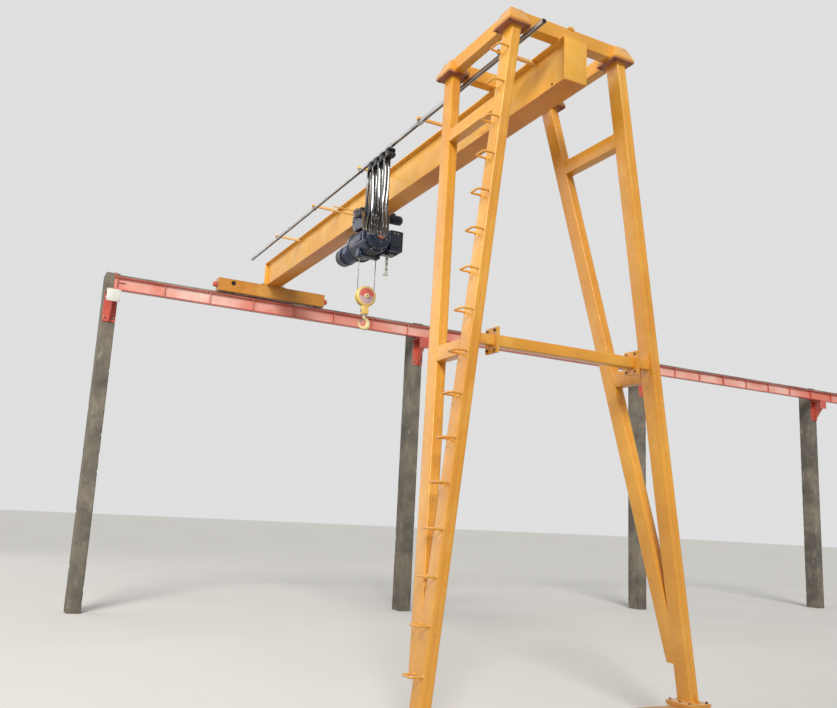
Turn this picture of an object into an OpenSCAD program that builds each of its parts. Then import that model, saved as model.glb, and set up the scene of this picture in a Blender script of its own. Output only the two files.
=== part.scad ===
// Semi-gantry crane: one side runs on a rail on the floor, the other on a wall runway.
// X runs along the rails, Y along the girder away from the leg frame, Z up, floor at 0.
// The origin is on the floor under the ground rail, in line with the girder.

/* [Span and heights] */
// Ground rail to runway rail, centre to centre
span = 7900; // [6000:50:12000]
// Underside of the girder above the floor
girder_z = 5162; // [4200:1:7000]
// Top of the foot plates, where the legs start
foot_z = 226; // [215:1:320]

/* [Girder] */
// Height of the girder over both flanges
girder_h = 408; // [330:1:700]
// Width of both girder flanges
flange_w = 230; // [215:1:320]
// Thickness of both girder flanges
flange_t = 12; // [8:1:20]
// Outside width across the two webs
web_w = 124; // [90:1:140]
// Thickness of each web
web_t = 6; // [5:1:12]
// How far the girder stands out past the ground rail's centre
near_over = 26; // [20:1:200]
// Thickness of the plates that close the girder's ends
end_t = 10; // [6:1:20]

/* [Leg frame] */
// Width of a leg along the rails
leg_w = 90; // [70:1:140]
// Depth of a leg along the girder
leg_d = 150; // [110:1:200]
// Half the distance between the feet
foot_half = 1206; // [1000:1:1500]
// Half the distance between the leg tops
top_half = 548; // [500:1:700]
// How far the near legs lean in at the top
near_top_y = 115; // [85:1:200]
// How far back the far legs stand at the top
far_top_y = 1090; // [800:1:1500]
// How far back the far legs stand at their lower end
far_foot_y = 83; // [60:1:110]
// Lower end of the far legs above the floor
far_foot_z = 500; // [400:1:700]
// Height of the braces between near and far leg
brace_h = 130; // [80:1:180]
// Underside of the middle braces
mid_brace_z = 2747; // [2200:1:3200]
// Underside of the upper braces
top_brace_z = 4807; // [3800:1:4900]

/* [Tie beam] */
// Middle height of the tie beam between the near legs
tie_z = 2880; // [2300:1:3300]
// Width and height of the tie beam
tie_w = 90; // [60:1:120]
// Half the distance between the bolted joints of the tie
tie_half = 682; // [450:1:740]
// Width of the tie's joint plates
tie_plate_w = 160; // [130:1:200]
// Height of the tie's joint plates
tie_plate_h = 196; // [130:1:240]
// Thickness of each joint plate
tie_plate_t = 12; // [8:1:20]

/* [Head frame] */
// Height of the beams on top of the legs
head_h = 130; // [90:1:180]
// Width of the front and rear beams
head_w = 110; // [80:1:130]
// Width of the side beams
side_w = 90; // [70:1:110]
// Cap plate along the rails
cap_x = 220; // [190:1:280]
// Cap plate along the girder
cap_y = 240; // [210:1:300]
// Thickness of the cap plates and of the leg plates under them
cap_t = 12; // [8:1:20]

/* [Feet and ground carriage] */
// Foot plates along the rails
foot_x = 230; // [200:1:300]
// Foot plates along the girder
foot_y = 260; // [220:1:320]
// Thickness of each of the two foot plates
foot_t = 12; // [8:1:20]
// Thickness of the pad between the foot plates and the carriage
foot_pad = 16; // [8:1:40]
// How far the ground wheels stand outside the middles of the feet
wheel_out = 12; // [0:1:200]
// How far the ground carriage runs on past the middles of its wheels
ground_end = 145; // [110:1:400]
// Width of the ground carriage
ground_w = 180; // [150:1:240]
// Underside of the ground carriage above the floor
ground_under = 70; // [60:1:85]
// Radius of the ground wheels, as far as the carriage has room
ground_wheel_r = 62; // [50:1:75]
// Width of all rail wheels
wheel_w = 60; // [50:1:70]

/* [Rails] */
// Width of the ground rail's base strip
ground_base_w = 150; // [120:1:220]
// Thickness of the ground rail's base strip
ground_base_t = 10; // [6:1:16]
// Width of both rail heads
rail_w = 46; // [30:1:48]
// Height of both rail heads
rail_h = 35; // [25:1:40]
// How far the ground rail runs on past the end columns' middle
rail_over = 300; // [150:10:600]

/* [Runway] */
// Distance from column to column
bay = 5290; // [4000:10:6500]
// Number of bays
bays = 3; // [3:1:6]
// Middle of the first column, seen from the crane at rest
first_x = -2440; // [-3500:10:-2300]
// Width of the columns along the runway
column_w = 200; // [170:10:400]
// Depth of the columns, across the runway
column_d = 320; // [170:10:500]
// How far the columns stand behind the runway's middle
column_gap = 200; // [160:5:260]
// How far the columns rise over the runway beam
column_over = 110; // [20:5:300]
// Height of the runway beam
beam_h = 200; // [160:1:300]
// Width of the runway beam's flanges
beam_w = 100; // [80:1:140]
// Thickness of the runway beam's flanges
beam_flange_t = 12; // [8:1:18]
// Thickness of the runway beam's web and stiffeners
beam_web_t = 8; // [6:1:12]
// Distance from stiffener to stiffener
stiff_pitch = 703; // [500:1:900]
// How far the runway beam starts before the first column's middle
beam_over = 0; // [0:5:140]
// How far the runway beam runs on past the last column's middle
beam_on = 650; // [0:10:1500]
// Height of the stops over the runway rail
stop_h = 30; // [10:5:60]
// Height of the brackets on the columns
bracket_h = 460; // [300:5:600]
// Width of the brackets
bracket_w = 195; // [100:5:220]
// Height of the plate at a bracket's front
nose_h = 190; // [100:5:260]

/* [Far carriage] */
// Distance between the far wheels
far_base = 1400; // [1000:5:2000]
// How far the far carriage runs on past the middles of its wheels
far_end = 197.5; // [120:0.5:400]
// Width of the far carriage
far_w = 170; // [150:1:220]
// Height of the far carriage
far_h = 202; // [170:1:260]
// Gap between the far carriage and its rail
far_gap = 14; // [8:1:30]
// Radius of the far wheels
far_wheel_r = 80; // [60:1:85]
// Radius of the hole in the far carriage's near face
sight_r = 38; // [20:1:45]

/* [Buffers] */
// Radius of the rubber buffers
buffer_r = 42; // [30:1:55]
// Length of the rubber buffers
buffer_len = 70; // [40:1:100]

/* [Hoist] */
// Middle of the hoist along the girder at rest
hoist_y = 4060; // [3900:10:4400]
// Drum axis under the girder
drum_drop = 282; // [270:1:330]
// Radius of the drum casing
drum_r = 190; // [160:1:200]
// Length of the drum casing
drum_len = 520; // [480:1:700]
// Radius of the hoist motor
motor_r = 130; // [90:1:150]
// Length of the hoist motor
motor_len = 540; // [400:1:640]
// Radius of the gearbox on the drum's near end
gear_r = 165; // [130:1:180]
// Length of the gearbox
gear_len = 100; // [80:1:160]
// Radius of the trolley wheels on the girder's lower flange
roller_r = 55; // [45:1:60]
// Gap between the lower flange's edge and the trolley's side plates
plate_gap = 10; // [6:1:20]
// Length of the trolley's side plates
plate_len = 460; // [420:1:600]
// How far the towing arm reaches out from the girder's middle
tow_reach = 440; // [380:1:460]

/* [Hook block] */
// Middle of the hook block above the floor at rest
hook_z = 4191; // [3000:1:4250]
// Radius of the sheave cover
sheave_r = 130; // [110:1:150]
// Width of the sheave cover
sheave_w = 100; // [80:1:130]
// Distance of each rope fall from the hook block's middle
fall_x = 112; // [90:1:120]
// Radius of the wire rope
rope_r = 6; // [4:1:8]
// Middle radius of the hook's bowl
hook_r = 62; // [50:1:70]
// Radius of the hook's round section
hook_bar_r = 21; // [16:1:24]

/* [Ladder] */
// Number of rungs on the left near leg
rungs = 16; // [12:1:16]
// Distance from rung to rung along the leg
rung_pitch = 324; // [280:1:325]
// Distance of the first rung below the leg's top
rung_drop = 212; // [150:1:260]
// How far the rungs stand out from the leg
rung_reach = 95; // [70:1:130]
// Width of the rungs between prong middles
rung_w = 120; // [90:1:130]
// Radius of the rung bars
rung_r = 9; // [7:1:11]

/* [Festoon] */
// Middle of the festoon track beside the girder
track_x = 425; // [400:1:440]
// Width of the festoon track
track_w = 34; // [30:1:40]
// Height of the festoon track
track_h = 32; // [28:1:40]
// How far the track stands out past the ground rail's centre
track_over = 160; // [30:5:200]
// Thickness of the bars that hold the track
arm_t = 30; // [20:1:40]
// Distance from bar to bar
arm_pitch = 1490; // [1000:5:1500]
// First bar behind the ground rail's centre
arm_first = 460; // [300:5:700]

/* [Hidden] */
run_gap = 0.3;
round_fn = 48;
rod_fn = 20;
paint = [0.90, 0.62, 0.20];
dark = [0.10, 0.13, 0.18];
red = [0.72, 0.22, 0.15];
steel = [0.45, 0.44, 0.43];
rubber = [0.70, 0.18, 0.10];

girder_top = girder_z + girder_h;
leg_top_z = girder_top - 2 * cap_t;
girder_near = -near_over;
girder_far = span + far_w / 2;
far_z = girder_z - far_h;
rail_top = far_z - far_gap;
beam_top = rail_top - rail_h;
beam_low = beam_top - beam_h;
ground_top = ground_base_t + rail_h;
ground_base = 2 * (foot_half + wheel_out);
ground_len = ground_base + 2 * ground_end;
far_len = far_base + 2 * far_end;
carriage_top = foot_z - 2 * foot_t - foot_pad;
floor_wheel_r = min(ground_wheel_r, (carriage_top - ground_top - 14) / 2);
far_axle_z = rail_top + run_gap + far_wheel_r;
ground_axle_z = ground_top + run_gap + floor_wheel_r;
last_x = first_x + bays * bay;
column_y = span + column_gap;
beam_x0 = first_x - beam_over;
beam_len = bays * bay + beam_over + beam_on;
drum_z = girder_z - drum_drop;
drum_y0 = hoist_y - drum_len / 2;
drum_y1 = hoist_y + drum_len / 2;
roller_z = girder_z + flange_t + run_gap + roller_r;
plate_x = flange_w / 2 + plate_gap;
plate_t = 12;
plate_low = girder_z - 122;
plate_top = girder_z + 183;
guide_z = drum_z - drum_r + 10;
track_top = girder_top - flange_t - arm_t;
track_z = track_top - track_h;
arms = floor((span - 300 - arm_first) / arm_pitch) + 1;

// Middle of a leg at height z, for the left (-1) or right (1) side
function near_mid(side, z) =
    let(t = (z - foot_z) / (leg_top_z - foot_z))
    [side * (foot_half + (top_half - foot_half) * t), near_top_y * t, z];
function far_mid(side, z) =
    let(t = (z - far_foot_z) / (leg_top_z - far_foot_z))
    [near_mid(side, z)[0], far_foot_y + (far_top_y - far_foot_y) * t, z];

// A slanting bar with level ends, w along X and d along Y
module slant(a, b, w, d) {
    polyhedron(
        points = [for (p = [a, b]) for (c = [[-1, -1], [1, -1], [1, 1], [-1, 1]])
            [p[0] + c[0] * w / 2, p[1] + c[1] * d / 2, p[2]]],
        faces = [[0, 1, 2, 3], [7, 6, 5, 4], [4, 5, 1, 0], [5, 6, 2, 1], [6, 7, 3, 2], [7, 4, 0, 3]],
        convexity = 2);
}

module block(x0, x1, y0, y1, z0, z1) {
    translate([x0, y0, z0])
        cube([x1 - x0, y1 - y0, z1 - z0]);
}

module along_y(x, z, y0, y1, r, fn = round_fn) {
    translate([x, y0, z])
        rotate([-90, 0, 0])
            cylinder(r = r, h = y1 - y0, $fn = fn);
}

module along_x(y, z, x0, x1, r, fn = round_fn) {
    translate([x0, y, z])
        rotate([0, 90, 0])
            cylinder(r = r, h = x1 - x0, $fn = fn);
}

module upright(x, y, z0, z1, r, fn = round_fn) {
    translate([x, y, z0])
        cylinder(r = r, h = z1 - z0, $fn = fn);
}

// Building side: columns, runway and rails
module column(i) {
    color([0.50, 0.49, 0.46])
        block(first_x + i * bay - column_w / 2, first_x + i * bay + column_w / 2,
            column_y, column_y + column_d, 0, beam_top + column_over);
}

module bracket(x) {
    front = span - beam_w / 2 - 10;
    block(x - bracket_w / 2, x + bracket_w / 2, front, column_y, beam_low - beam_flange_t, beam_low);
    block(x - bracket_w / 2, x + bracket_w / 2, column_y - beam_flange_t, column_y,
        beam_low - bracket_h, beam_low);
    block(x - bracket_w / 2, x + bracket_w / 2, front - beam_flange_t, front + 1, beam_low - nose_h, beam_low);
    translate([x - beam_web_t / 2, 0, 0])
        rotate([90, 0, 90])
            linear_extrude(beam_web_t)
                polygon([[front, beam_low - beam_flange_t], [column_y, beam_low - beam_flange_t],
                    [column_y, beam_low - bracket_h + 10], [column_y - 45, beam_low - bracket_h + 10],
                    [front, beam_low - nose_h + 10]]);
}

module runway_beam() {
    color(red) {
        for (z = [beam_low, beam_top - beam_flange_t])
            block(beam_x0, beam_x0 + beam_len, span - beam_w / 2, span + beam_w / 2, z, z + beam_flange_t);
        block(beam_x0, beam_x0 + beam_len, span - beam_web_t / 2, span + beam_web_t / 2, beam_low, beam_top);
        for (i = [0 : floor((beam_len - 30) / stiff_pitch)])
            translate([beam_x0 + 30 + i * stiff_pitch, span - beam_w / 2 + 4, beam_low])
                cube([beam_web_t, beam_w - 8, beam_h]);
        for (i = [0 : bays])
            bracket(first_x + i * bay);
        for (end = [0, 1])
            translate([end == 0 ? beam_x0 : beam_x0 + beam_len - 20, span - rail_w / 2 - 5, beam_top])
                cube([20, rail_w + 10, rail_top - beam_top + stop_h]);
    }
}

module runway_rail() {
    color(steel)
        block(beam_x0 + 20, beam_x0 + beam_len - 20, span - rail_w / 2, span + rail_w / 2, beam_top, rail_top);
}

module ground_rail() {
    x0 = first_x - rail_over;
    x1 = last_x + rail_over;
    stop_top = (ground_under + carriage_top) / 2 + 50;
    color(steel) {
        block(x0, x1, -ground_base_w / 2, ground_base_w / 2, 0, ground_base_t);
        block(x0, x1, -rail_w / 2, rail_w / 2, ground_base_t, ground_top);
        for (x = [x0, x1 - 20])
            block(x, x + 20, -65, 65, ground_base_t, stop_top);
    }
}

// Carriages
module wheel(x, y, z, r) {
    along_y(x, z, y - wheel_w / 2, y + wheel_w / 2, r);
}

module ground_carriage() {
    color(paint)
        difference() {
            block(-ground_len / 2, ground_len / 2, -ground_w / 2, ground_w / 2, ground_under, carriage_top);
            for (side = [-1, 1])
                block(side * ground_base / 2 - floor_wheel_r - 12, side * ground_base / 2 + floor_wheel_r + 12,
                    -wheel_w / 2 - 5, wheel_w / 2 + 5, ground_under - 1, ground_axle_z + floor_wheel_r + 6);
        }
}

module wheel_pair(base, y, z, r) {
    for (side = [-1, 1]) {
        wheel(side * base / 2, y, z, r);
        along_y(side * base / 2, z, y - wheel_w / 2 - 5, y + wheel_w / 2 + 5, 22);
    }
}

module ground_wheels() {
    color(steel)
        wheel_pair(ground_base, 0, ground_axle_z, floor_wheel_r);
}

module buffer_pair(len, y, z) {
    for (side = [-1, 1])
        along_x(y, z, side > 0 ? len / 2 : -len / 2 - buffer_len, side > 0 ? len / 2 + buffer_len : -len / 2,
            buffer_r);
}

module ground_buffers() {
    color(rubber)
        buffer_pair(ground_len, 0, (ground_under + carriage_top) / 2);
}

module far_carriage() {
    color(paint)
        difference() {
            block(-far_len / 2, far_len / 2, span - far_w / 2, span + far_w / 2, far_z, girder_z);
            for (side = [-1, 1])
                block(side * far_base / 2 - far_wheel_r - 12, side * far_base / 2 + far_wheel_r + 12,
                    span - wheel_w / 2 - 5, span + wheel_w / 2 + 5, far_z - 1, far_axle_z + far_wheel_r + 6);
            along_y(-far_len / 2 + 240, girder_z - 62, span - far_w / 2 - 1, span - wheel_w / 2 - 15, sight_r);
        }
}

module far_wheels() {
    color(steel)
        wheel_pair(far_base, span, far_axle_z, far_wheel_r);
}

module far_buffers() {
    color(rubber)
        buffer_pair(far_len, span, far_z + far_h / 2);
}

// Leg frame
module foot(side) {
    x0 = side * foot_half - foot_x / 2;
    x1 = side * foot_half + foot_x / 2;
    plates_z = foot_z - 2 * foot_t;
    color(paint) {
        block(x0 + 6, x1 - 6, -foot_y / 2 + 6, foot_y / 2 - 6, carriage_top, plates_z);
        block(x0, x1, -foot_y / 2, foot_y / 2, plates_z, foot_z);
    }
}

module near_leg(side) {
    color(paint)
        slant(near_mid(side, foot_z), near_mid(side, leg_top_z), leg_w, leg_d);
}

module far_leg(side) {
    color(paint)
        difference() {
            slant(far_mid(side, far_foot_z), far_mid(side, leg_top_z), leg_w, leg_d);
            slant(near_mid(side, foot_z), near_mid(side, leg_top_z), leg_w + 4, leg_d);
        }
}

module brace(side, z) {
    low = near_mid(side, z);
    high = near_mid(side, z + brace_h);
    reach = far_mid(side, z + brace_h)[1];
    color(paint)
        difference() {
            translate([0, reach / 2, 0])
                slant([low[0], 0, z], [high[0], 0, z + brace_h], leg_w, reach);
            slant(near_mid(side, foot_z), near_mid(side, leg_top_z), leg_w + 4, leg_d);
            slant(far_mid(side, far_foot_z), far_mid(side, leg_top_z), leg_w + 4, leg_d);
            block(-2 * foot_half, 2 * foot_half, -leg_d, near_mid(side, z)[1], z - 1, z + brace_h + 1);
        }
}

module braces(side) {
    brace(side, mid_brace_z);
    brace(side, top_brace_z);
}

module tie_beam() {
    y = near_mid(1, tie_z)[1];
    stub_w = tie_w - 10;
    color(paint) {
        block(-tie_half, tie_half, y - tie_w / 2, y + tie_w / 2, tie_z - tie_w / 2, tie_z + tie_w / 2);
        for (side = [-1, 1])
            block(side * tie_half - tie_plate_t, side * tie_half + tie_plate_t,
                y - tie_plate_w / 2, y + tie_plate_w / 2, tie_z - tie_plate_h / 2, tie_z + tie_plate_h / 2);
        difference() {
            block(-foot_half, foot_half, y - stub_w / 2, y + stub_w / 2, tie_z - stub_w / 2, tie_z + stub_w / 2);
            for (side = [-1, 1]) {
                slant(near_mid(side, foot_z), near_mid(side, leg_top_z), leg_w, leg_d);
                translate([side * (foot_half + near_mid(1, tie_z)[0]), y, tie_z])
                    cube([2 * foot_half, leg_d, leg_d], center = true);
            }
            block(-tie_half, tie_half, y - leg_d, y + leg_d, tie_z - leg_d, tie_z + leg_d);
        }
    }
}

// Head frame
module cap(side, y) {
    x = side * top_half;
    hull() {
        translate([x - cap_x / 2, y - cap_y / 2, girder_top])
            cube([cap_x, cap_y, 0.01]);
        translate([x - side_w * 0.7, y - head_w * 0.6, girder_top + head_h - 0.01])
            cube([side_w * 1.4, head_w * 1.2, 0.01]);
    }
    block(x - cap_x / 2, x + cap_x / 2, y - cap_y / 2, y + cap_y / 2, leg_top_z, girder_top);
}

module cross_beam(y) {
    color(paint)
        difference() {
            block(-top_half, top_half, y - head_w / 2, y + head_w / 2, girder_top, girder_top + head_h);
            for (side = [-1, 1])
                cap(side, y);
        }
}

module side_beam(side) {
    x = side * top_half;
    color(paint) {
        block(x - side_w / 2, x + side_w / 2, near_top_y, far_top_y, girder_top, girder_top + head_h);
        for (y = [near_top_y, far_top_y])
            cap(side, y);
    }
}

// Girder
module girder_box() {
    color(paint) {
        block(-flange_w / 2, flange_w / 2, girder_near, girder_far, girder_top - flange_t, girder_top);
        for (x = [-web_w / 2, web_w / 2 - web_t])
            block(x, x + web_t, girder_near, girder_far, girder_z + flange_t, girder_top);
        for (y = [girder_near, girder_far - end_t])
            block(-flange_w / 2, flange_w / 2, y, y + end_t, girder_z + flange_t, girder_top);
    }
}

module girder_bottom_flange() {
    color(paint)
        block(-flange_w / 2, flange_w / 2, girder_near, girder_far, girder_z, girder_z + flange_t);
}

// Festoon track and ladder
module festoon_track() {
    color(steel)
        difference() {
            block(-track_x - track_w / 2, -track_x + track_w / 2, -track_over, span - 200, track_z, track_top);
            block(-track_x - track_w / 2 + 4, -track_x + track_w / 2 - 4, -track_over - 1, span - 199,
                track_z + 4, track_top - 4);
            block(-track_x - 6, -track_x + 6, -track_over - 1, span - 199, track_z - 1, track_z + 5);
        }
}

module festoon_arms() {
    color(paint)
        for (i = [0 : arms - 1])
            translate([0, arm_first + i * arm_pitch, 0])
                block(-track_x - track_w / 2 - 26, -web_w / 2, -arm_t / 2, arm_t / 2,
                    track_top, track_top + arm_t);
}

module rung(p) {
    x = p[0] - rung_reach - leg_w / 2;
    for (side = [-1, 1])
        along_x(p[1] + side * rung_w / 2, p[2], x, p[0], rung_r, rod_fn);
    along_y(x, p[2], p[1] - rung_w / 2 - rung_r - 1, p[1] + rung_w / 2 + rung_r + 1, rung_r + 0.5, rod_fn);
}

module ladder_rungs() {
    a = near_mid(-1, leg_top_z);
    b = near_mid(-1, foot_z);
    step = rung_pitch * (leg_top_z - foot_z) / norm(a - b);
    color(paint)
        difference() {
            for (i = [0 : rungs - 1])
                rung(near_mid(-1, leg_top_z - rung_drop - i * step));
            slant(b, a, leg_w, leg_d);
        }
}

// Hoist and its trolley
module trolley_frame() {
    color(dark) {
        for (side = [-1, 1])
            translate([side * (plate_x + plate_t / 2) - plate_t / 2, 0, 0])
                rotate([90, 0, 90])
                    linear_extrude(plate_t)
                        polygon([[hoist_y - plate_len / 2, girder_z - 40],
                            [hoist_y - plate_len / 2 + 60, plate_low],
                            [hoist_y + plate_len / 2 - 60, plate_low],
                            [hoist_y + plate_len / 2, girder_z - 40],
                            [hoist_y + plate_len / 2, plate_top],
                            [hoist_y + plate_len / 2 - 110, plate_top],
                            [hoist_y + plate_len / 2 - 160, plate_top - 60],
                            [hoist_y - plate_len / 2, plate_top - 60]]);
        difference() {
            for (dy = [-120, 120])
                block(-plate_x, plate_x, hoist_y + dy - 30, hoist_y + dy + 30, plate_low, plate_low + 50);
            along_y(0, drum_z, drum_y0 - 1, drum_y1 + 1, drum_r);
        }
    }
}

module trolley_wheels() {
    color(steel)
        for (side = [-1, 1])
            for (dy = [-140, 140]) {
                x = side * (web_w / 2 + 10);
                along_x(hoist_y + dy, roller_z, min(x, x + side * 34), max(x, x + side * 34), roller_r);
                along_x(hoist_y + dy, roller_z, min(x, side * plate_x), max(x, side * plate_x), 14, rod_fn);
            }
}

module trolley_motor() {
    outer = plate_x + plate_t;
    y = hoist_y - 90;
    z = girder_z + 53;
    color(dark) {
        block(outer, outer + 62, y - 70, y + 70, z - 70, z + 70);
        along_x(y, z, outer + 62, outer + 240, 62);
        along_x(y, z, outer + 240, outer + 262, 50);
    }
}

module hoist_drum() {
    color(dark) {
        along_y(0, drum_z, drum_y0, drum_y1, drum_r);
        block(-fall_x - 34, fall_x + 34, hoist_y - 55, hoist_y + 55, guide_z - 15, drum_z - 100);
    }
}

module hoist_gearbox() {
    color(dark) {
        along_y(0, drum_z, drum_y0 - gear_len, drum_y0, gear_r);
        along_y(0, drum_z, drum_y0 - gear_len - 20, drum_y0 - gear_len, gear_r * 0.4);
    }
}

module hoist_motor() {
    color(dark) {
        along_y(0, drum_z, drum_y1, drum_y1 + motor_len, motor_r);
        along_y(0, drum_z, drum_y1 + motor_len, drum_y1 + motor_len + 60, motor_r * 0.85);
    }
}

module control_box() {
    inner = max(drum_r - 45, fall_x + 36);
    color(dark)
        difference() {
            block(inner, drum_r + 140, drum_y0 - 40, drum_y0 + 260, drum_z - 140, drum_z + 120);
            along_y(0, drum_z, drum_y0 - 60, drum_y1, drum_r);
        }
}

module tow_arm() {
    y = hoist_y + plate_len / 2 - 50;
    color(paint) {
        for (z = [plate_top - 77, plate_top - 20])
            along_x(y, z, -tow_reach, -plate_x - plate_t, 8, rod_fn);
        upright(-tow_reach, y, plate_top - 85, plate_top - 12, 8, rod_fn);
    }
}

// Festoon trolleys and their two flat cables, carried along with the hoist
trolley_y = [2640, 2790, 2940, 3090];
saddle_r = 60;
saddle_z = track_z - 110;
cable_w = 34;
cable_t = 8;
cable_step = cable_w + 6;
saddle_w = cable_step / 2 + cable_w / 2 + 4;

module festoon_trolley(y) {
    for (dy = [-24, 24])
        for (side = [-1, 1])
            along_x(y + dy, track_z + 4.3 + 10, -track_x + (side > 0 ? 3 : -12), -track_x + (side > 0 ? 12 : -3),
                10, rod_fn);
    block(-track_x - 3, -track_x + 3, y - 34, y + 34, track_z - 20, track_z + 20);
    block(-track_x - saddle_w - 2, -track_x + saddle_w + 2, y - 34, y + 34, saddle_z + saddle_r + cable_t + 1,
        track_z - 14);
    for (side = [-1, 1])
        block(-track_x + side * saddle_w - 2, -track_x + side * saddle_w + 2, y - 34, y + 34, saddle_z,
            track_z - 14);
    intersection() {
        along_x(y, saddle_z, -track_x - saddle_w, -track_x + saddle_w, saddle_r);
        block(-track_x - saddle_w, -track_x + saddle_w, y - saddle_r, y + saddle_r, saddle_z,
            saddle_z + saddle_r);
    }
}

module festoon_trolleys() {
    color(dark) {
        for (y = trolley_y)
            festoon_trolley(y);
        block(-plate_x - plate_t - 80, -plate_x - plate_t, 3850, 3990, girder_z - 20, girder_z + 80);
    }
}

// The cables' route: over the four saddles in three hanging loops, then across to the junction box
cable_route = [
    [-425, 2640, 5451], [-425, 2674, 5441], [-425, 2697, 5416], [-425, 2705, 5386], [-425, 2704, 5105],
    [-425, 2697, 4885], [-425, 2681, 4745], [-425, 2655, 4635], [-425, 2645, 4575], [-425, 2665, 4525],
    [-425, 2715, 4505], [-425, 2765, 4525], [-425, 2785, 4575], [-425, 2775, 4635], [-425, 2749, 4745],
    [-425, 2733, 4885], [-425, 2726, 5105], [-425, 2725, 5386], [-425, 2733, 5416], [-425, 2756, 5441],
    [-425, 2790, 5451], [-425, 2824, 5441], [-425, 2847, 5416], [-425, 2855, 5386], [-425, 2853, 5240],
    [-425, 2847, 5100], [-425, 2831, 4980], [-425, 2805, 4870], [-425, 2795, 4810], [-425, 2815, 4760],
    [-425, 2865, 4740], [-425, 2915, 4760], [-425, 2935, 4810], [-425, 2925, 4870], [-425, 2899, 4980],
    [-425, 2883, 5100], [-425, 2877, 5240], [-425, 2875, 5386], [-425, 2883, 5416], [-425, 2906, 5441],
    [-425, 2940, 5451], [-425, 2974, 5441], [-425, 2997, 5416], [-425, 3005, 5386], [-425, 3004, 5180],
    [-425, 2997, 5000], [-425, 2981, 4860], [-425, 2955, 4750], [-425, 2945, 4690], [-425, 2965, 4640],
    [-425, 3015, 4620], [-425, 3065, 4640], [-425, 3085, 4690], [-425, 3075, 4750], [-425, 3049, 4860],
    [-425, 3033, 5000], [-425, 3026, 5180], [-425, 3025, 5386], [-425, 3033, 5416], [-425, 3056, 5441],
    [-425, 3090, 5451], [-425, 3124, 5441], [-425, 3147, 5416], [-425, 3155, 5386], [-425, 3156, 5250],
    [-424, 3160, 5080], [-420, 3172, 4950], [-410, 3200, 4862], [-391, 3250, 4804], [-366, 3320, 4780],
    [-337, 3400, 4792], [-309, 3480, 4842], [-281, 3560, 4922], [-254, 3636, 5012], [-227, 3712, 5096],
    [-202, 3782, 5158], [-177, 3850, 5192]];

function turn_at(route, i) =
    let(a = route[max(i - 1, 0)], b = route[min(i + 1, len(route) - 1)])
    (b - a) / norm(b - a);

module flat_cable(route, w, t) {
    outline = [[-0.5, -0.25], [-0.35, -0.5], [0.35, -0.5], [0.5, -0.25],
        [0.5, 0.25], [0.35, 0.5], [-0.35, 0.5], [-0.5, 0.25]];
    n = len(route);
    rings = [for (i = [0 : n - 1])
        let(d = turn_at(route, i), u0 = cross(d, [0, -d[2], d[1]]), u = u0 / norm(u0), v = cross(d, u))
        for (q = outline) route[i] + u * q[0] * w + v * q[1] * t];
    polyhedron(points = rings,
        faces = concat([[for (j = [0 : 7]) j]], [[for (j = [7 : -1 : 0]) (n - 1) * 8 + j]],
            [for (i = [0 : n - 2]) for (j = [0 : 7])
                [i * 8 + j, (i + 1) * 8 + j, (i + 1) * 8 + (j + 1) % 8, i * 8 + (j + 1) % 8]]),
        convexity = 8);
}

module festoon_strand(side) {
    color([0.05, 0.05, 0.05])
        flat_cable([for (p = cable_route) p + [side * cable_step / 2, 0, 0]], cable_w, cable_t);
}

// Rope falls, hook block and hook
module rope_falls() {
    color(steel)
        for (side = [-1, 1])
            upright(side * fall_x, hoist_y, hook_z + sqrt(pow(sheave_r, 2) - pow(fall_x - rope_r, 2)) + run_gap,
                guide_z - 15, rope_r, rod_fn);
}

module hook_block() {
    low = hook_z - sheave_r;
    color([0.93, 0.72, 0.18]) {
        along_y(0, hook_z, hoist_y - sheave_w / 2, hoist_y + sheave_w / 2, sheave_r);
        for (side = [-1, 1])
            along_y(0, hook_z, side > 0 ? hoist_y + sheave_w / 2 : hoist_y - sheave_w / 2 - 14,
                side > 0 ? hoist_y + sheave_w / 2 + 14 : hoist_y - sheave_w / 2, 34);
        block(-42, 42, hoist_y - 36, hoist_y + 36, low - 100, low + 30);
    }
}

module hook() {
    neck_z = hook_z - sheave_r - 100 - run_gap;
    bowl_z = neck_z - 50 - hook_r;
    color([0.85, 0.70, 0.30])
        translate([0, hoist_y, 0]) {
            upright(0, 0, bowl_z + hook_r, neck_z, 17, rod_fn);
            upright(0, 0, neck_z - 16, neck_z, 30, rod_fn);
            translate([0, 0, bowl_z])
                rotate([90, 0, 0])
                    rotate([0, 0, -165])
                        rotate_extrude(angle = 255, $fn = 40)
                            translate([hook_r, 0])
                                circle(r = hook_bar_r, $fn = 16);
        }
}

column(0);  // column_1
column(1);  // column_2
column(2);  // column_3
column(3);  // column_4
runway_beam();
runway_rail();
ground_rail();
ground_carriage();
ground_wheels();
ground_buffers();
foot(-1);  // foot_left
foot(1);  // foot_right
near_leg(-1);  // near_leg_left
near_leg(1);  // near_leg_right
far_leg(-1);  // far_leg_left
far_leg(1);  // far_leg_right
braces(-1);  // braces_left
braces(1);  // braces_right
tie_beam();
cross_beam(near_top_y);  // front_beam
cross_beam(far_top_y);  // rear_beam
side_beam(-1);  // side_beam_left
side_beam(1);  // side_beam_right
girder_box();
girder_bottom_flange();
far_carriage();
far_wheels();
far_buffers();
festoon_track();
festoon_arms();
ladder_rungs();
trolley_frame();
trolley_wheels();
trolley_motor();
hoist_drum();
hoist_gearbox();
hoist_motor();
control_box();
tow_arm();
festoon_trolleys();
festoon_strand(-1);  // festoon_cable
festoon_strand(1);  // festoon_lead
rope_falls();
hook_block();
hook();
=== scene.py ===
"""Looks of the semi-gantry crane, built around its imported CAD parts. All lengths are metres."""

import math
import random
from itertools import product

import bmesh
import bpy
from mathutils import Matrix, Vector


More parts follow.
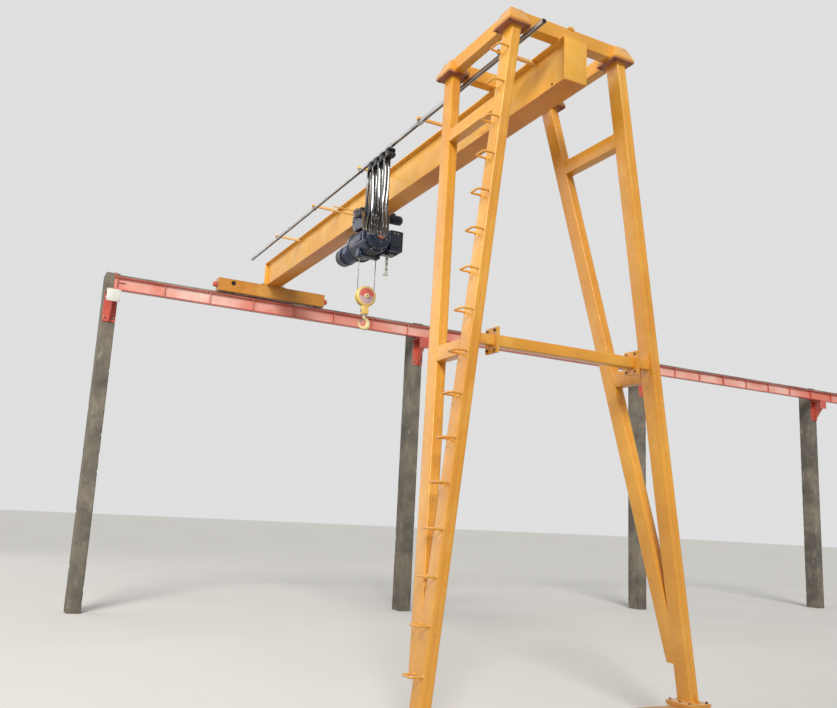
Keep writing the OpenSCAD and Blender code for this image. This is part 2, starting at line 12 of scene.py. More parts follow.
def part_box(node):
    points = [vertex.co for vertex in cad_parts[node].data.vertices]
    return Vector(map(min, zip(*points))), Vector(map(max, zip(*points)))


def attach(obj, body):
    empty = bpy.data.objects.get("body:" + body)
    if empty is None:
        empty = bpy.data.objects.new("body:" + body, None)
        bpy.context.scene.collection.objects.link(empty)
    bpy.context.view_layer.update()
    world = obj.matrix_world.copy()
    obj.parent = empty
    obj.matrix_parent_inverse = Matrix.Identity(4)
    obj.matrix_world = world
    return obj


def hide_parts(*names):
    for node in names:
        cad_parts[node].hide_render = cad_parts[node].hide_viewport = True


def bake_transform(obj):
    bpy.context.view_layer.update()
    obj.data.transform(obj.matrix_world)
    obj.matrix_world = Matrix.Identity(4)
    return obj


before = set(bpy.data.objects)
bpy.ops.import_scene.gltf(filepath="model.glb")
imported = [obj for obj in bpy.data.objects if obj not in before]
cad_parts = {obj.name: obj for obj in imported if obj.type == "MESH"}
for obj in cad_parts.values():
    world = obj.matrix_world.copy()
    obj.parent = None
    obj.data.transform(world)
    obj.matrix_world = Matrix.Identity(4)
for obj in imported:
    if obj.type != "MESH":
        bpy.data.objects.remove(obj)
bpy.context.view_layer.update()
RNG = random.Random(7)
BOTH = (-1, 1)
CORNERS = ((1, -1), (1, 1), (-1, 1), (-1, -1))
X, Y, Z = Vector((1, 0, 0)), Vector((0, 1, 0)), Vector((0, 0, 1))

# Camera at the photograph's place, for a picture of 837 by 708
CAMERA_AT = Vector((-4.0697, -5.2679, 1.5297))
FORWARD = Vector((0.45233, 0.87118, 0.19090)).normalized()
UP = Vector((-0.13012, -0.14729, 0.98050))
FOCAL_PX, IMAGE_W, SENSOR_W = 852.98, 837, 36.0

side = FORWARD.cross(UP).normalized()
turn = Matrix((side, side.cross(FORWARD).normalized(), -FORWARD)).transposed()
cam_data = bpy.data.cameras.new("camera")
cam_data.sensor_fit = "HORIZONTAL"
cam_data.sensor_width = SENSOR_W
cam_data.lens = SENSOR_W * FOCAL_PX / IMAGE_W
cam_data.clip_start, cam_data.clip_end = 0.1, 400.0
camera = bpy.data.objects.new("camera", cam_data)
bpy.context.scene.collection.objects.link(camera)
camera.matrix_world = Matrix.Translation(CAMERA_AT) @ turn.to_4x4()
bpy.context.scene.camera = camera

# Main sizes, as the CAD source has them
SPAN = 7.900
GIRDER_Z, GIRDER_TOP, FLANGE_T, FLANGE_W, WEB_W = 5.162, 5.570, 0.012, 0.230, 0.124
GIRDER_NEAR, GIRDER_FAR = -0.026, 7.985
LEG_W, LEG_D = 0.090, 0.150
FOOT_HALF, TOP_HALF, FOOT_Z, LEG_TOP = 1.206, 0.548, 0.226, 5.546
NEAR_TOP_Y, FAR_TOP_Y, FAR_FOOT_Y, FAR_FOOT_Z = 0.115, 1.090, 0.083, 0.500
BRACE_H = 0.130
TIE_Z, TIE_W, TIE_HALF = 2.880, 0.090, 0.682
CAP_X, CAP_Y, CAP_T = 0.220, 0.240, 0.012
HEAD_H, HEAD_W, SIDE_W = 0.130, 0.110, 0.090
HOIST_Y, DRUM_Z = 4.060, 4.880
DRUM_R, DRUM_Y0, DRUM_Y1, MOTOR_R = 0.190, 3.800, 4.320, 0.130
HOOK_Z, BLOCK_R, FALL_X = 4.191, 0.130, 0.112
TRACK_X, TRACK_Z = 0.425, 5.496
TROLLEYS = (2.640, 2.790, 2.940, 3.090)
SADDLE_Z, SADDLE_R = 5.386, 0.060
CABLE_W, CABLE_T, CABLE_STEP = 0.034, 0.008, 0.040
BAY, FIRST_X = 5.290, -2.440
BEAM_LOW, BEAM_TOP = 4.711, 4.911
BEAM_MID = (BEAM_LOW + BEAM_TOP) / 2
STIFF_STEP, BRACKET_HALF, NOSE_LOW, NOSE_Y = 0.703, 0.0975, 4.521, 7.843
CARRIAGE_TOP = 5.162
PLATE_X, PLATE_T, AXLE_Y, AXLE_UP = 0.125, 0.012, 0.140, 0.0673


def near_mid(s, z):
    """Middle of a near leg at height z, on side s."""
    t = (z - FOOT_Z) / (LEG_TOP - FOOT_Z)
    return Vector((s * (FOOT_HALF + (TOP_HALF - FOOT_HALF) * t), NEAR_TOP_Y * t, z))


def far_mid(s, z):
    """Middle of a far leg at height z, on side s."""
    t = (z - FAR_FOOT_Z) / (LEG_TOP - FAR_FOOT_Z)
    return Vector((near_mid(s, z).x, FAR_FOOT_Y + (FAR_TOP_Y - FAR_FOOT_Y) * t, z))


# Materials: colours of three numbers are out of 255
class Nodes:
    """A node tree, with a short call for a new node."""

    def __init__(self, tree):
        self.tree = tree
        tree.nodes.clear()

    def node(self, kind, values=(), **settings):
        """New node; values are its inputs by name or number: numbers or other nodes' outputs."""
        n = self.tree.nodes.new("ShaderNode" + kind)
        for key, value in settings.items():
            setattr(n, key, value)
        for key, value in dict(values).items():
            self.put(n.inputs[key], value)
        return n

    def put(self, socket, value):
        if isinstance(value, bpy.types.NodeSocket):
            self.tree.links.new(value, socket)
        else:
            socket.default_value = value

    def seen_rays(self):
        """1 for what the camera sees, straight or in metal and glass; 0 for what only lights the object."""
        rays = self.node("LightPath").outputs
        value = rays["Is Camera Ray"]
        for other in ("Is Glossy Ray", "Is Transmission Ray"):
            value = self.node("Math", {0: value, 1: rays[other]}, operation="MAXIMUM").outputs[0]
        return value


def linear(color):
    """Colour out of 255 as a linear one; a node's output or a linear colour of four stays as it is."""
    if not isinstance(color, tuple) or len(color) == 4:
        return color
    share = [c / 255.0 for c in color]
    return (*[c / 12.92 if c <= 0.04045 else ((c + 0.055) / 1.055) ** 2.4 for c in share], 1.0)


class Graph(Nodes):
    """A material's node tree, with short calls for the nodes used here."""

    def __init__(self, name):
        self.mat = bpy.data.materials.new(name)
        self.mat.use_nodes = True
        super().__init__(self.mat.node_tree)
        self.bsdf = self.node("BsdfPrincipled")
        self.node("OutputMaterial", {0: self.bsdf.outputs[0]})
        self.coords = self.node("TexCoord").outputs["Object"]

    def noise(self, scale, detail, rough, stretch=(1, 1, 1), shift=(0, 0, 0), warp=0.0):
        place = self.node("Mapping", {"Scale": stretch, "Location": shift, "Vector": self.coords})
        return self.node("TexNoise", {"Scale": scale, "Detail": detail, "Roughness": rough,
                                      "Distortion": warp, "Vector": place.outputs[0]}).outputs["Fac"]

    def ramp(self, value, low, high, to_low=0.0, to_high=1.0):
        """Smooth step from to_low at low to to_high at high."""
        return self.node("MapRange", {"Value": value, "From Min": low, "From Max": high, "To Min": to_low,
                                      "To Max": to_high}, interpolation_type="SMOOTHSTEP").outputs[0]

    def cloud(self, scale, detail, rough, low, high, to_low=0.0, to_high=1.0, **place):
        """Noise taken through a ramp."""
        return self.ramp(self.noise(scale, detail, rough, **place), low, high, to_low, to_high)

    def math(self, kind, a, b=0.0):
        return self.node("Math", {0: a, 1: b}, operation=kind).outputs[0]

    def plus(self, a, b):
        return self.math("ADD", a, b)

    def times(self, a, b):
        return self.math("MULTIPLY", a, b)

    def mix(self, factor, a, b, blend="MIX"):
        """Colour a where factor is 0, b where it is 1."""
        return self.node("Mix", {"Factor": factor, "A": linear(a), "B": linear(b)}, data_type="RGBA",
                         blend_type=blend).outputs["Result"]

    def normal(self):
        return self.node("NewGeometry").outputs["Normal"]

    def part(self, vector, axis):
        """One coordinate of a vector."""
        return self.node("SeparateXYZ", {0: vector}).outputs[axis]

    def up(self):
        return self.part(self.normal(), "Z")

    def height(self):
        return self.part(self.coords, "Z")

    def chips(self, scale, low, high):
        """Broken patches along the edges."""
        bevel = self.node("Bevel", {"Radius": 0.006}, samples=3)
        dot = self.node("VectorMath", {0: bevel.outputs[0], 1: self.normal()}, operation="DOT_PRODUCT")
        return self.times(self.ramp(dot.outputs["Value"], 0.99, 0.93), self.cloud(scale, 5, 0.7, low, high))

    def bump(self, height, distance, strength):
        n = self.node("Bump", {"Strength": strength, "Distance": distance, "Height": height})
        self.put(self.bsdf.inputs["Normal"], n.outputs[0])

    def finish(self, color, rough, metal=0.0, coat=0.0, spec=0.5):
        for key, value in (("Base Color", linear(color)), ("Roughness", rough), ("Metallic", metal),
                           ("Coat Weight", coat), ("Coat Roughness", 0.18), ("Specular IOR Level", spec)):
            self.put(self.bsdf.inputs[key], value)
        return self.mat


def enamel(name, base, deep, pale, under, dust, rough=0.30, coat=0.15, wear=0.5, grime=0.5, spec=0.35,
           patch=(2.3, 0.55), zone=None):
    """Brushed or sprayed enamel over primer: uneven tone, runs, dust on top faces and chipped edges.

    zone(graph, colour) may change the colour by place."""
    g = Graph(name)
    col = g.mix(g.cloud(0.8, 3, 0.5, 0.35, 0.68), base, deep)
    col = g.mix(g.cloud(patch[0], 4, 0.6, 0.48, 0.72, 0, patch[1], shift=(3, 1, 8)), col, pale)
    if zone:
        col = zone(g, col)
    col = g.mix(g.cloud(1.0, 5, 0.6, 0.52, 0.75, 0, 0.30 * grime, stretch=(26, 26, 0.9)), col, deep)
    fine = g.noise(46, 6, 0.62)
    col = g.mix(g.ramp(fine, 0.30, 0.72, 0, 0.10), col, (0, 0, 0), "MULTIPLY")
    stain = g.times(g.cloud(3.1, 6, 0.7, 0.56, 0.74, warp=0.6), g.ramp(fine, 0.35, 0.6))
    col = g.mix(g.times(stain, 0.35 * grime), col, under)
    settle = g.times(g.ramp(g.up(), 0.55, 0.95), g.cloud(7.0, 5, 0.6, 0.25, 0.7, 0.25, 0.75))
    col = g.mix(settle, col, dust)
    chips = g.chips(38, 0.50, 0.60)
    col = g.mix(g.times(chips, wear), col, under)
    scuff = g.times(g.cloud(90, 3, 0.5, 0.66, 0.72, stretch=(1, 1, 0.12)),
                    g.cloud(1.7, 3, 0.5, 0.55, 0.70, shift=(9, 4, 2)))
    col = g.mix(g.times(scuff, 0.45 * wear), col, under)
    skin = g.plus(g.plus(g.times(g.noise(300, 2, 0.5), 0.10), g.noise(1.4, 3, 0.5)), g.times(chips, -0.10))
    g.bump(skin, 0.006, 0.55)
    dull = g.plus(g.cloud(5.0, 5, 0.6, 0.3, 0.7, rough - 0.07, rough + 0.12), g.times(settle, 0.35))
    return g.finish(col, dull, coat=coat, spec=spec)


def frame_floor_shade(g, col):
    """Leg frame: painted shade, the paint turning darker and duller towards the floor, where less light falls.
    """
    uneven = g.times(g.noise(1.2, 4, 0.6, stretch=(3, 3, 1)), 1.2)
    return g.mix(g.ramp(g.plus(g.height(), uneven), 2.9, 0.8, 0, 0.45), col, (204, 142, 66))


def runway_sheen_zone(g, col):
    """The paint's own darker red on the runway's flanges, stiffeners, brackets and faces turned along X,
    without the web's pale pink, which is a painted sheen.
    """
    turned = g.ramp(g.math("ABSOLUTE", g.part(g.normal(), "X")), 0.5, 0.8)
    off_web = g.ramp(g.math("ABSOLUTE", g.math("SUBTRACT", g.height(), BEAM_MID)), 0.082, 0.090)
    share = g.times(g.math("MAXIMUM", turned, off_web), 0.85)
    return g.mix(share, col, g.mix(g.cloud(2.0, 4, 0.6, 0.35, 0.68), (206, 84, 66), (178, 64, 52)))


def ring_paint():
    """Paint of the hook block's ring: red above, fading to a pinkish white below, rubbed and scratched."""
    g = Graph("ring_enamel")
    line = g.plus(g.height(), g.times(g.noise(38, 4, 0.6), 0.030))
    red = g.mix(g.cloud(30, 5, 0.6, 0.35, 0.7), (222, 84, 76), (232, 122, 112))
    pale = g.mix(g.cloud(26, 5, 0.6, 0.35, 0.7, shift=(2, 5, 1)), (214, 186, 192), (198, 162, 170))
    col = g.mix(g.ramp(line, HOOK_Z - 0.004, HOOK_Z + 0.030), pale, red)
    col = g.mix(g.cloud(120, 3, 0.5, 0.62, 0.70, 0, 0.5, stretch=(1, 1, 0.15)), col, (240, 214, 170))
    g.bump(g.noise(160, 3, 0.5), 0.001, 0.4)
    return g.finish(col, g.cloud(24, 4, 0.6, 0.3, 0.7, 0.28, 0.44), coat=0.15)


def flange_paint():
    """The lower flange: enamel, worn to steel in two strips where the trolley wheels run."""
    g = Graph("flange_enamel")
    col = g.mix(g.cloud(0.8, 3, 0.5, 0.35, 0.68), (236, 156, 56), (214, 130, 46))
    col = g.mix(g.cloud(46, 6, 0.62, 0.30, 0.72, 0, 0.12), col, (0, 0, 0), "MULTIPLY")
    off_track = g.math("ABSOLUTE", g.math("SUBTRACT", g.math("ABSOLUTE", g.part(g.coords, "X")), 0.088))
    band = g.times(g.ramp(off_track, 0.020, 0.010), g.ramp(g.up(), 0.4, 0.8))
    band = g.times(band, g.cloud(20, 5, 0.7, 0.25, 0.5, stretch=(1, 0.15, 1)))
    col = g.mix(band, col, (120, 112, 104))
    col = g.mix(g.times(g.chips(30, 0.45, 0.56), 0.7), col, (120, 84, 68))
    g.bump(g.noise(1.4, 3, 0.5), 0.006, 0.5)
    return g.finish(col, g.cloud(5, 5, 0.6, 0.3, 0.7, 0.28, 0.44), metal=g.times(band, 0.7), coat=0.15)


def rubber(name, base, pale, rough):
    g = Graph(name)
    col = g.mix(g.cloud(9, 5, 0.65, 0.40, 0.75, 0, 0.6), base, pale)
    col = g.mix(g.ramp(g.up(), 0.5, 1.0, 0, 0.45), col, (150, 140, 128))
    g.bump(g.noise(180, 3, 0.5), 0.0012, 0.5)
    return g.finish(col, g.cloud(20, 4, 0.6, 0.3, 0.7, rough - 0.06, rough + 0.10), spec=0.4)


def bare_steel(name, base, rust, shine, rust_share, rough, metal, grain=(1, 1, 1)):
    g = Graph(name)
    low = 0.62 - 0.35 * rust_share
    spots = g.cloud(6.5, 7, 0.7, low, low + 0.20, stretch=grain, warp=0.4)
    col = g.mix(g.cloud(28, 5, 0.6, 0.3, 0.7, stretch=grain), base, shine)
    col = g.mix(spots, col, rust)
    col = g.mix(g.ramp(g.up(), 0.6, 1.0, 0, 0.25), col, (140, 130, 118))
    g.bump(g.plus(g.noise(70, 5, 0.6, stretch=grain), g.times(spots, 0.6)), 0.0015, 0.6)
    dull = g.cloud(60, 3, 0.5, 0.3, 0.7, rough - 0.06, rough + 0.08, stretch=grain)
    dull = g.plus(dull, g.times(spots, 0.30))
    return g.finish(col, dull, metal=g.math("SUBTRACT", metal, g.times(spots, 0.75)))


def concrete(name):
    """Cast concrete with form lines, air holes with painted shade in them, damp and rust stains."""
    g = Graph(name)
    col = g.mix(g.cloud(1.6, 5, 0.6, 0.35, 0.68), (132, 124, 110), (98, 93, 86))
    col = g.mix(g.cloud(9, 6, 0.7, 0.50, 0.72, 0, 0.70, stretch=(1, 1, 0.35)), col, (160, 152, 136))
    col = g.mix(g.cloud(3.2, 6, 0.75, 0.60, 0.72, 0, 0.70, warp=0.8), col, (74, 68, 62))
    col = g.mix(g.cloud(2.1, 4, 0.6, 0.64, 0.76, 0, 0.55, shift=(5, 2, 1)), col, (128, 84, 66))
    foot = g.times(g.ramp(g.height(), 1.1, 0.0), g.cloud(5, 5, 0.7, 0.35, 0.6))
    col = g.mix(g.times(foot, 0.55), col, (84, 78, 72))
    cells = g.node("TexVoronoi", {"Scale": 42, "Vector": g.coords}).outputs["Distance"]
    holes = g.times(g.ramp(cells, 0.10, 0.02), g.cloud(4, 2, 0.5, 0.5, 0.6))
    # Air holes: dented by the bump, and darkened as painted shade in them.
    col = g.mix(holes, col, (52, 50, 48))
    g.bump(g.plus(g.noise(34, 7, 0.7), g.times(holes, -0.9)), 0.004, 0.8)
    return g.finish(col, g.cloud(12, 4, 0.6, 0.3, 0.7, 0.78, 0.94), spec=0.3)


def sheath(name):
    """Glossy black flat cable with fine lengthwise drawing lines and handling marks."""
    g = Graph(name)
    col = g.mix(g.cloud(12, 5, 0.6, 0.45, 0.75, 0, 0.7, stretch=(1, 1, 0.4)), (10, 10, 12), (26, 27, 31))
    g.bump(g.noise(40, 2, 0.5, stretch=(1, 1, 0.03)), 0.0002, 0.12)
    return g.finish(col, g.cloud(9, 3, 0.5, 0.3, 0.7, 0.13, 0.18, stretch=(1, 1, 0.25)), coat=1.0, spec=0.9)


def strand(name, low, high, oil):
    """Wire rope's steel, dull with oil; the laid strands are in the mesh."""
    g = Graph(name)
    col = g.mix(g.cloud(90, 4, 0.6, 0.3, 0.7), low, high)
    col = g.mix(g.cloud(24, 4, 0.6, 0.5, 0.75, 0, 0.5), col, oil)
    g.bump(g.noise(220, 3, 0.5), 0.001, 0.5)
    return g.finish(col, g.cloud(40, 3, 0.5, 0.3, 0.7, 0.30, 0.48), metal=0.8)


# Crane paint; low on the leg frame it carries painted shade, darker towards the floor.
YELLOW = enamel("crane_enamel", (239, 171, 60), (222, 150, 45), (248, 192, 90), (196, 122, 92),
                (206, 182, 142), rough=0.24, coat=0.22, grime=0.9, spec=0.40, zone=frame_floor_shade)
# Girder paint: the frame's enamel made paler and yellower, a painted highlight of light falling on the web.
GIRDER_YELLOW_LIT = enamel("girder_enamel_painted_light", (248, 186, 76), (240, 172, 60), (252, 206, 110), (206, 130, 84),
                    (214, 190, 150), rough=0.36, coat=0.08, wear=0.3, grime=0.10, spec=0.38)
CARRIAGE = enamel("carriage_enamel", (220, 156, 66), (196, 130, 54), (234, 182, 98), (150, 100, 70),
                  (186, 166, 132), rough=0.38, coat=0.05, wear=0.8, grime=1.0)
# Runway paint: its pale pink base and large pale patches are a painted sheen on the web; the deeper red put on
# the other faces is its own colour.
RUNWAY_RED_SHEEN = enamel("runway_red_painted_sheen", (244, 192, 176), (222, 124, 104), (253, 230, 220), (150, 78, 62),
             (222, 192, 180), coat=0.20, grime=0.6, patch=(0.5, 0.95), zone=runway_sheen_zone)
PRIMED = enamel("plate_primer", (176, 110, 80), (150, 88, 64), (204, 140, 102), (104, 66, 52),
                (176, 140, 112), rough=0.46, coat=0.05, wear=0.6, grime=0.8)
NAVY = enamel("hoist_enamel", (22, 40, 76), (14, 22, 42), (48, 74, 118), (120, 118, 116),
              (96, 102, 116), rough=0.24, coat=0.25, wear=0.30, grime=0.4, spec=0.4)
BLOCK_YELLOW = enamel("block_enamel", (250, 218, 130), (242, 198, 94), (254, 238, 184), (150, 108, 66),
                      (206, 184, 138), coat=0.2, grime=0.6)
RING = ring_paint()
RING_WHITE = enamel("ring_white", (236, 216, 206), (218, 186, 178), (244, 232, 226), (150, 120, 104),
                    (190, 174, 156), rough=0.38, wear=0.4, grime=0.8)
HOOK_PAINT = enamel("hook_enamel", (248, 234, 186), (234, 210, 146), (252, 244, 214), (120, 104, 86),
                    (196, 178, 140), rough=0.36, wear=0.9, grime=0.7)
CREAM = enamel("arm_enamel", (246, 200, 126), (232, 174, 96), (250, 220, 164), (180, 112, 84),
               (206, 186, 150), coat=0.3)
PALE = enamel("box_enamel", (240, 240, 236), (224, 222, 214), (246, 246, 242), (150, 132, 112),
              (200, 194, 182), rough=0.36, coat=0.2, wear=0.3)
FLANGE = flange_paint()
RAIL = bare_steel("rail_steel", (118, 112, 106), (104, 66, 48), (164, 160, 154), 0.55, 0.38, 0.8,
                  (0.12, 1, 1))
TREAD = bare_steel("wheel_iron", (96, 92, 88), (92, 62, 46), (176, 172, 166), 0.30, 0.32, 0.85)
BOLT = bare_steel("bolt_steel", (130, 126, 120), (100, 70, 54), (186, 182, 176), 0.30, 0.36, 0.8)
DARK_BOLT = bare_steel("dark_bolt", (112, 76, 48), (86, 54, 36), (144, 112, 82), 0.45, 0.55, 0.15)
ZINC = bare_steel("track_zinc", (150, 152, 154), (118, 100, 84), (196, 198, 200), 0.10, 0.34, 0.8,
                  (1, 0.2, 1))
BUFFER = rubber("buffer_rubber", (206, 92, 70), (222, 134, 110), 0.42)
BLACK = rubber("black_plastic", (16, 17, 20), (36, 38, 42), 0.36)
# Painted shade: near-black for the insides of holes, slots and gaps.
PAINTED_SHADE = rubber("painted_shade_inside", (26, 20, 16), (44, 34, 28), 0.8)
CONCRETE = concrete("column_concrete")
SHEATH = sheath("cable_sheath")
ROPE = strand("wire_rope", (134, 130, 122), (184, 182, 176), (96, 84, 70))
# Rope wound on the drum: the same rope darkened, painted shade inside the casing.
WOUND_ROPE_SHADE = strand("wound_rope_painted_shade", (54, 52, 50), (92, 90, 88), (40, 34, 30))


# Mesh helpers
def across(direction):
    """Unit vector along direction, with two at right angles to it."""
    d = Vector(direction).normalized()
    u = d.orthogonal().normalized()
    return d, u, d.cross(u)


def circle(centre, u, w, r, n, start=0.0):
    """Ring of n points round centre, in the plane of u and w."""
    turns = [start + 2 * math.pi * k / n for k in range(n)]
    return [centre + (u * math.cos(a) + w * math.sin(a)) * r for a in turns]


def spokes(count):
    """Directions round the Y axis, the first half a step up from +X."""
    for k in range(count):
        a = math.pi * (2 * k + 1) / count
        yield Vector((math.cos(a), 0, math.sin(a)))


def directed(pts):
    """Each point of a line with the line's direction there."""
    for a, p, b in zip(pts[:1] + pts[:-1], pts, pts[1:] + pts[-1:]):
        yield p, (b - a).normalized()


def mirrored(profile, length, middle=()):
    """Profile of a turned form with two like ends."""
    return [*profile, *middle, *((length - t, r) for t, r in reversed(profile))]


def stations(x, end, step):
    """Places from x on, a step apart, short of end."""
    while x < end:
        yield x
        x += step


def rounded(w, d, r, seg=4):
    """Outline of a rounded rectangle, w by d in all."""
    pts = []
    for i, (sx, sy) in enumerate(CORNERS):
        for k in range(seg + 1):
            a = math.radians(90 * (i - 1 + k / seg))
            pts.append((sx * (w / 2 - r) + r * math.cos(a), sy * (d / 2 - r) + r * math.sin(a)))
    return pts


class Piece:
    """Closed forms gathered into one mesh, each with its own material; places count from the point at."""

    def __init__(self, name, *mats, at=(0, 0, 0)):
        self.name = name
        self.mats = mats
        self.at = Vector(at)
        self.bm = bmesh.new()

    def face(self, verts, mat, smooth=False):
        f = self.bm.faces.new(verts)
        f.material_index = mat
        f.smooth = smooth

    def loft(self, rings, mat=0, smooth=False):
        """Closed skin over rings of points; mat may list a material for each band."""
        rows = [[self.bm.verts.new(self.at + Vector(p)) for p in ring] for ring in rings]
        mats = mat if isinstance(mat, list) else [mat] * (len(rows) - 1)
        n = len(rows[0])
        for a, b, m in zip(rows, rows[1:], mats):
            for j in range(n):
                k = (j + 1) % n
                self.face((a[j], a[k], b[k], b[j]), m, smooth)
        self.face(rows[0][::-1], mats[0])
        self.face(rows[-1], mats[-1])

    def box(self, lo, hi, r=0.002, mat=0, seg=2):
        """Box with rounded edges between two opposite corners."""
        lo, hi = Vector(tuple(map(min, lo, hi))), Vector(tuple(map(max, lo, hi)))
        size, mid = hi - lo, (lo + hi) / 2
        r = min(r, 0.45 * min(size))
        turns = [math.pi / 2 * k / seg for k in range(seg + 1)]
        steps = [(r * (1 - math.cos(a)), r * (1 - math.sin(a))) for a in turns]
        rings = []
        for z, inset in [(lo.z + up, i) for up, i in steps] + [(hi.z - up, i) for up, i in reversed(steps)]:
            outline = rounded(size.x - 2 * inset, size.y - 2 * inset, max(r - inset, 0.0) + 1e-5, seg)
            rings.append([(mid.x + x, mid.y + y, z) for x, y in outline])
        self.loft(rings, mat)

    def along(self, axis, at, lo, hi, section, rows=2):
        """A section drawn straight along x or y; at gives the middle of the other two."""
        lo, hi = sorted((lo, hi))
        rings = []
        for v in [lo + (hi - lo) * k / (rows - 1) for k in range(rows)]:
            rings.append([(v, at[0] + p, at[1] + q) if axis == "x" else (at[0] - p, v, at[1] + q)
                          for p, q in section])
        self.loft(rings)

    def lathe(self, at, direction, profile, mat=0, n=32):
        """Turned form: profile of (distance along, radius) from at along direction."""
        d, u, w = across(direction)
        self.loft([circle(Vector(at) + d * t, u, w, r, n) for t, r in profile], mat, smooth=True)

    def rod(self, a, b, r, mat, n=14):
        """Round bar with eased ends."""
        a, b = Vector(a), Vector(b)
        length = (b - a).length
        e = min(0.15 * r, length / 3)
        self.lathe(a, b - a, [(0, r - e), (e, r), (length - e, r), (length, r - e)], mat, n)

    def tube(self, points, r, mat, n):
        """Round rod along a bent line."""
        rings = []
        u = None
        for p, d in directed([Vector(p) for p in points]):
            u = d.orthogonal().normalized() if u is None else u
            u = (u - d * u.dot(d)).normalized()
            rings.append(circle(p, u, d.cross(u), r, n))
        self.loft(rings, mat, smooth=True)

    def bead(self, a, b, r, step=0.018):
        """Weld bead with its ripples, from a to b."""
        a, b = Vector(a), Vector(b)
        count = max(3, min(240, int((b - a).length / step)))
        d, u, w = across(b - a)
        rings = []
        for i in range(count + 1):
            k = r * (0.86 + 0.28 * RNG.random()) * (0.4 if i in (0, count) else 1.0)
            rings.append(circle(a.lerp(b, i / count), u, w, k, 6))
        self.loft(rings, 0, smooth=True)

    def bolt(self, at, direction, size, mat=1, washer=True, tail=0.0):
        """Bolt or nut of a thread size with a chamfered head; tail is the thread that stands out."""
        d, u, w = across(direction)
        at = Vector(at)
        if washer:
            ring = [(0, size * 0.98), (size * 0.16, size * 0.98), (size * 0.19, size * 0.93)]
            self.lathe(at, d, ring, mat, 18)
            at = at + d * size * 0.17
        start = RNG.random() * 1.04
        height = size * (0.8 if tail else 0.65)
        self.loft([circle(at + d * t, u, w, size * 1.5 / math.sqrt(3) * k, 6, start)
                   for t, k in ((0, 1.0), (height * 0.82, 1.0), (height, 0.86))], mat)
        if tail:
            self.rod(at + d * size * 0.7, at + d * (size * 0.8 + tail), size * 0.47, mat, 12)

    def plate(self, outline, axis, lo, hi, r=0.0015):
        """Flat plate with an outline of (y, z) across x, or (x, z) across y; edges lightly eased."""
        lo, hi = sorted((lo, hi))
        pts = [Vector(p) for p in outline]
        if sum(p.x * q.y - q.x * p.y for p, q in zip(pts, pts[1:] + pts[:1])) < 0:
            pts.reverse()
        rings = []
        for v, k in ((lo, r), (lo + r, 0), (hi - r, 0), (hi, r)):
            ring = []
            for a, b, c in zip(pts[-1:] + pts[:-1], pts, pts[1:] + pts[:1]):
                m = (b - a).orthogonal().normalized() + (c - b).orthogonal().normalized()
                q = b + m / max(m.length_squared / 2, 0.3) * k
                ring.append((v, q.x, q.y) if axis == "x" else (q.x, v, q.y))
            rings.append(ring if axis == "x" else ring[::-1])
        self.loft(rings)

    def done(self, body, node=None, sharp=38):
        """Closes the piece; it rides on body, or on no body where body is None, as for a piece that crosses a
        joint.
        """
        mesh = bpy.data.meshes.new(self.name)
        bmesh.ops.recalc_face_normals(self.bm, faces=self.bm.faces[:])
        self.bm.to_mesh(mesh)
        self.bm.free()
        for m in self.mats:
            mesh.materials.append(m)
        mesh.set_sharp_from_angle(angle=math.radians(sharp))
        obj = bpy.data.objects.new(self.name, mesh)
        bpy.context.scene.collection.objects.link(obj)
        if body:
            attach(obj, body)
        if node:
            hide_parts(node)
        return obj


def paint_node(name, mat):
    """A CAD part that stays, with its own finish."""
    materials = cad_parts[name].data.materials
    materials.clear()
    materials.append(mat)


# Festoon cables: the route's points between the two of them, as the CAD source has them
CABLE_POINTS = [(-.425, y, z) for y, z in (
    (2.640, 5.451), (2.674, 5.441), (2.697, 5.416), (2.705, 5.386), (2.704, 5.105), (2.697, 4.885),
    (2.681, 4.745), (2.655, 4.635), (2.645, 4.575), (2.665, 4.525), (2.715, 4.505), (2.765, 4.525),
    (2.785, 4.575), (2.775, 4.635), (2.749, 4.745), (2.733, 4.885), (2.726, 5.105), (2.725, 5.386),
    (2.733, 5.416), (2.756, 5.441), (2.790, 5.451), (2.824, 5.441), (2.847, 5.416), (2.855, 5.386),
    (2.853, 5.240), (2.847, 5.100), (2.831, 4.980), (2.805, 4.870), (2.795, 4.810), (2.815, 4.760),
    (2.865, 4.740), (2.915, 4.760), (2.935, 4.810), (2.925, 4.870), (2.899, 4.980), (2.883, 5.100),
    (2.877, 5.240), (2.875, 5.386), (2.883, 5.416), (2.906, 5.441), (2.940, 5.451), (2.974, 5.441),
    (2.997, 5.416), (3.005, 5.386), (3.004, 5.180), (2.997, 5.000), (2.981, 4.860), (2.955, 4.750),
    (2.945, 4.690), (2.965, 4.640), (3.015, 4.620), (3.065, 4.640), (3.085, 4.690), (3.075, 4.750),
    (3.049, 4.860), (3.033, 5.000), (3.026, 5.180), (3.025, 5.386), (3.033, 5.416), (3.056, 5.441),
    (3.090, 5.451), (3.124, 5.441), (3.147, 5.416), (3.155, 5.386), (3.156, 5.250))] + [
    (-.424, 3.160, 5.080), (-.420, 3.172, 4.950), (-.410, 3.200, 4.862), (-.391, 3.250, 4.804),
    (-.366, 3.320, 4.780), (-.337, 3.400, 4.792), (-.309, 3.480, 4.842), (-.281, 3.560, 4.922),
    (-.254, 3.636, 5.012), (-.227, 3.712, 5.096), (-.202, 3.782, 5.158), (-.177, 3.850, 5.192)]


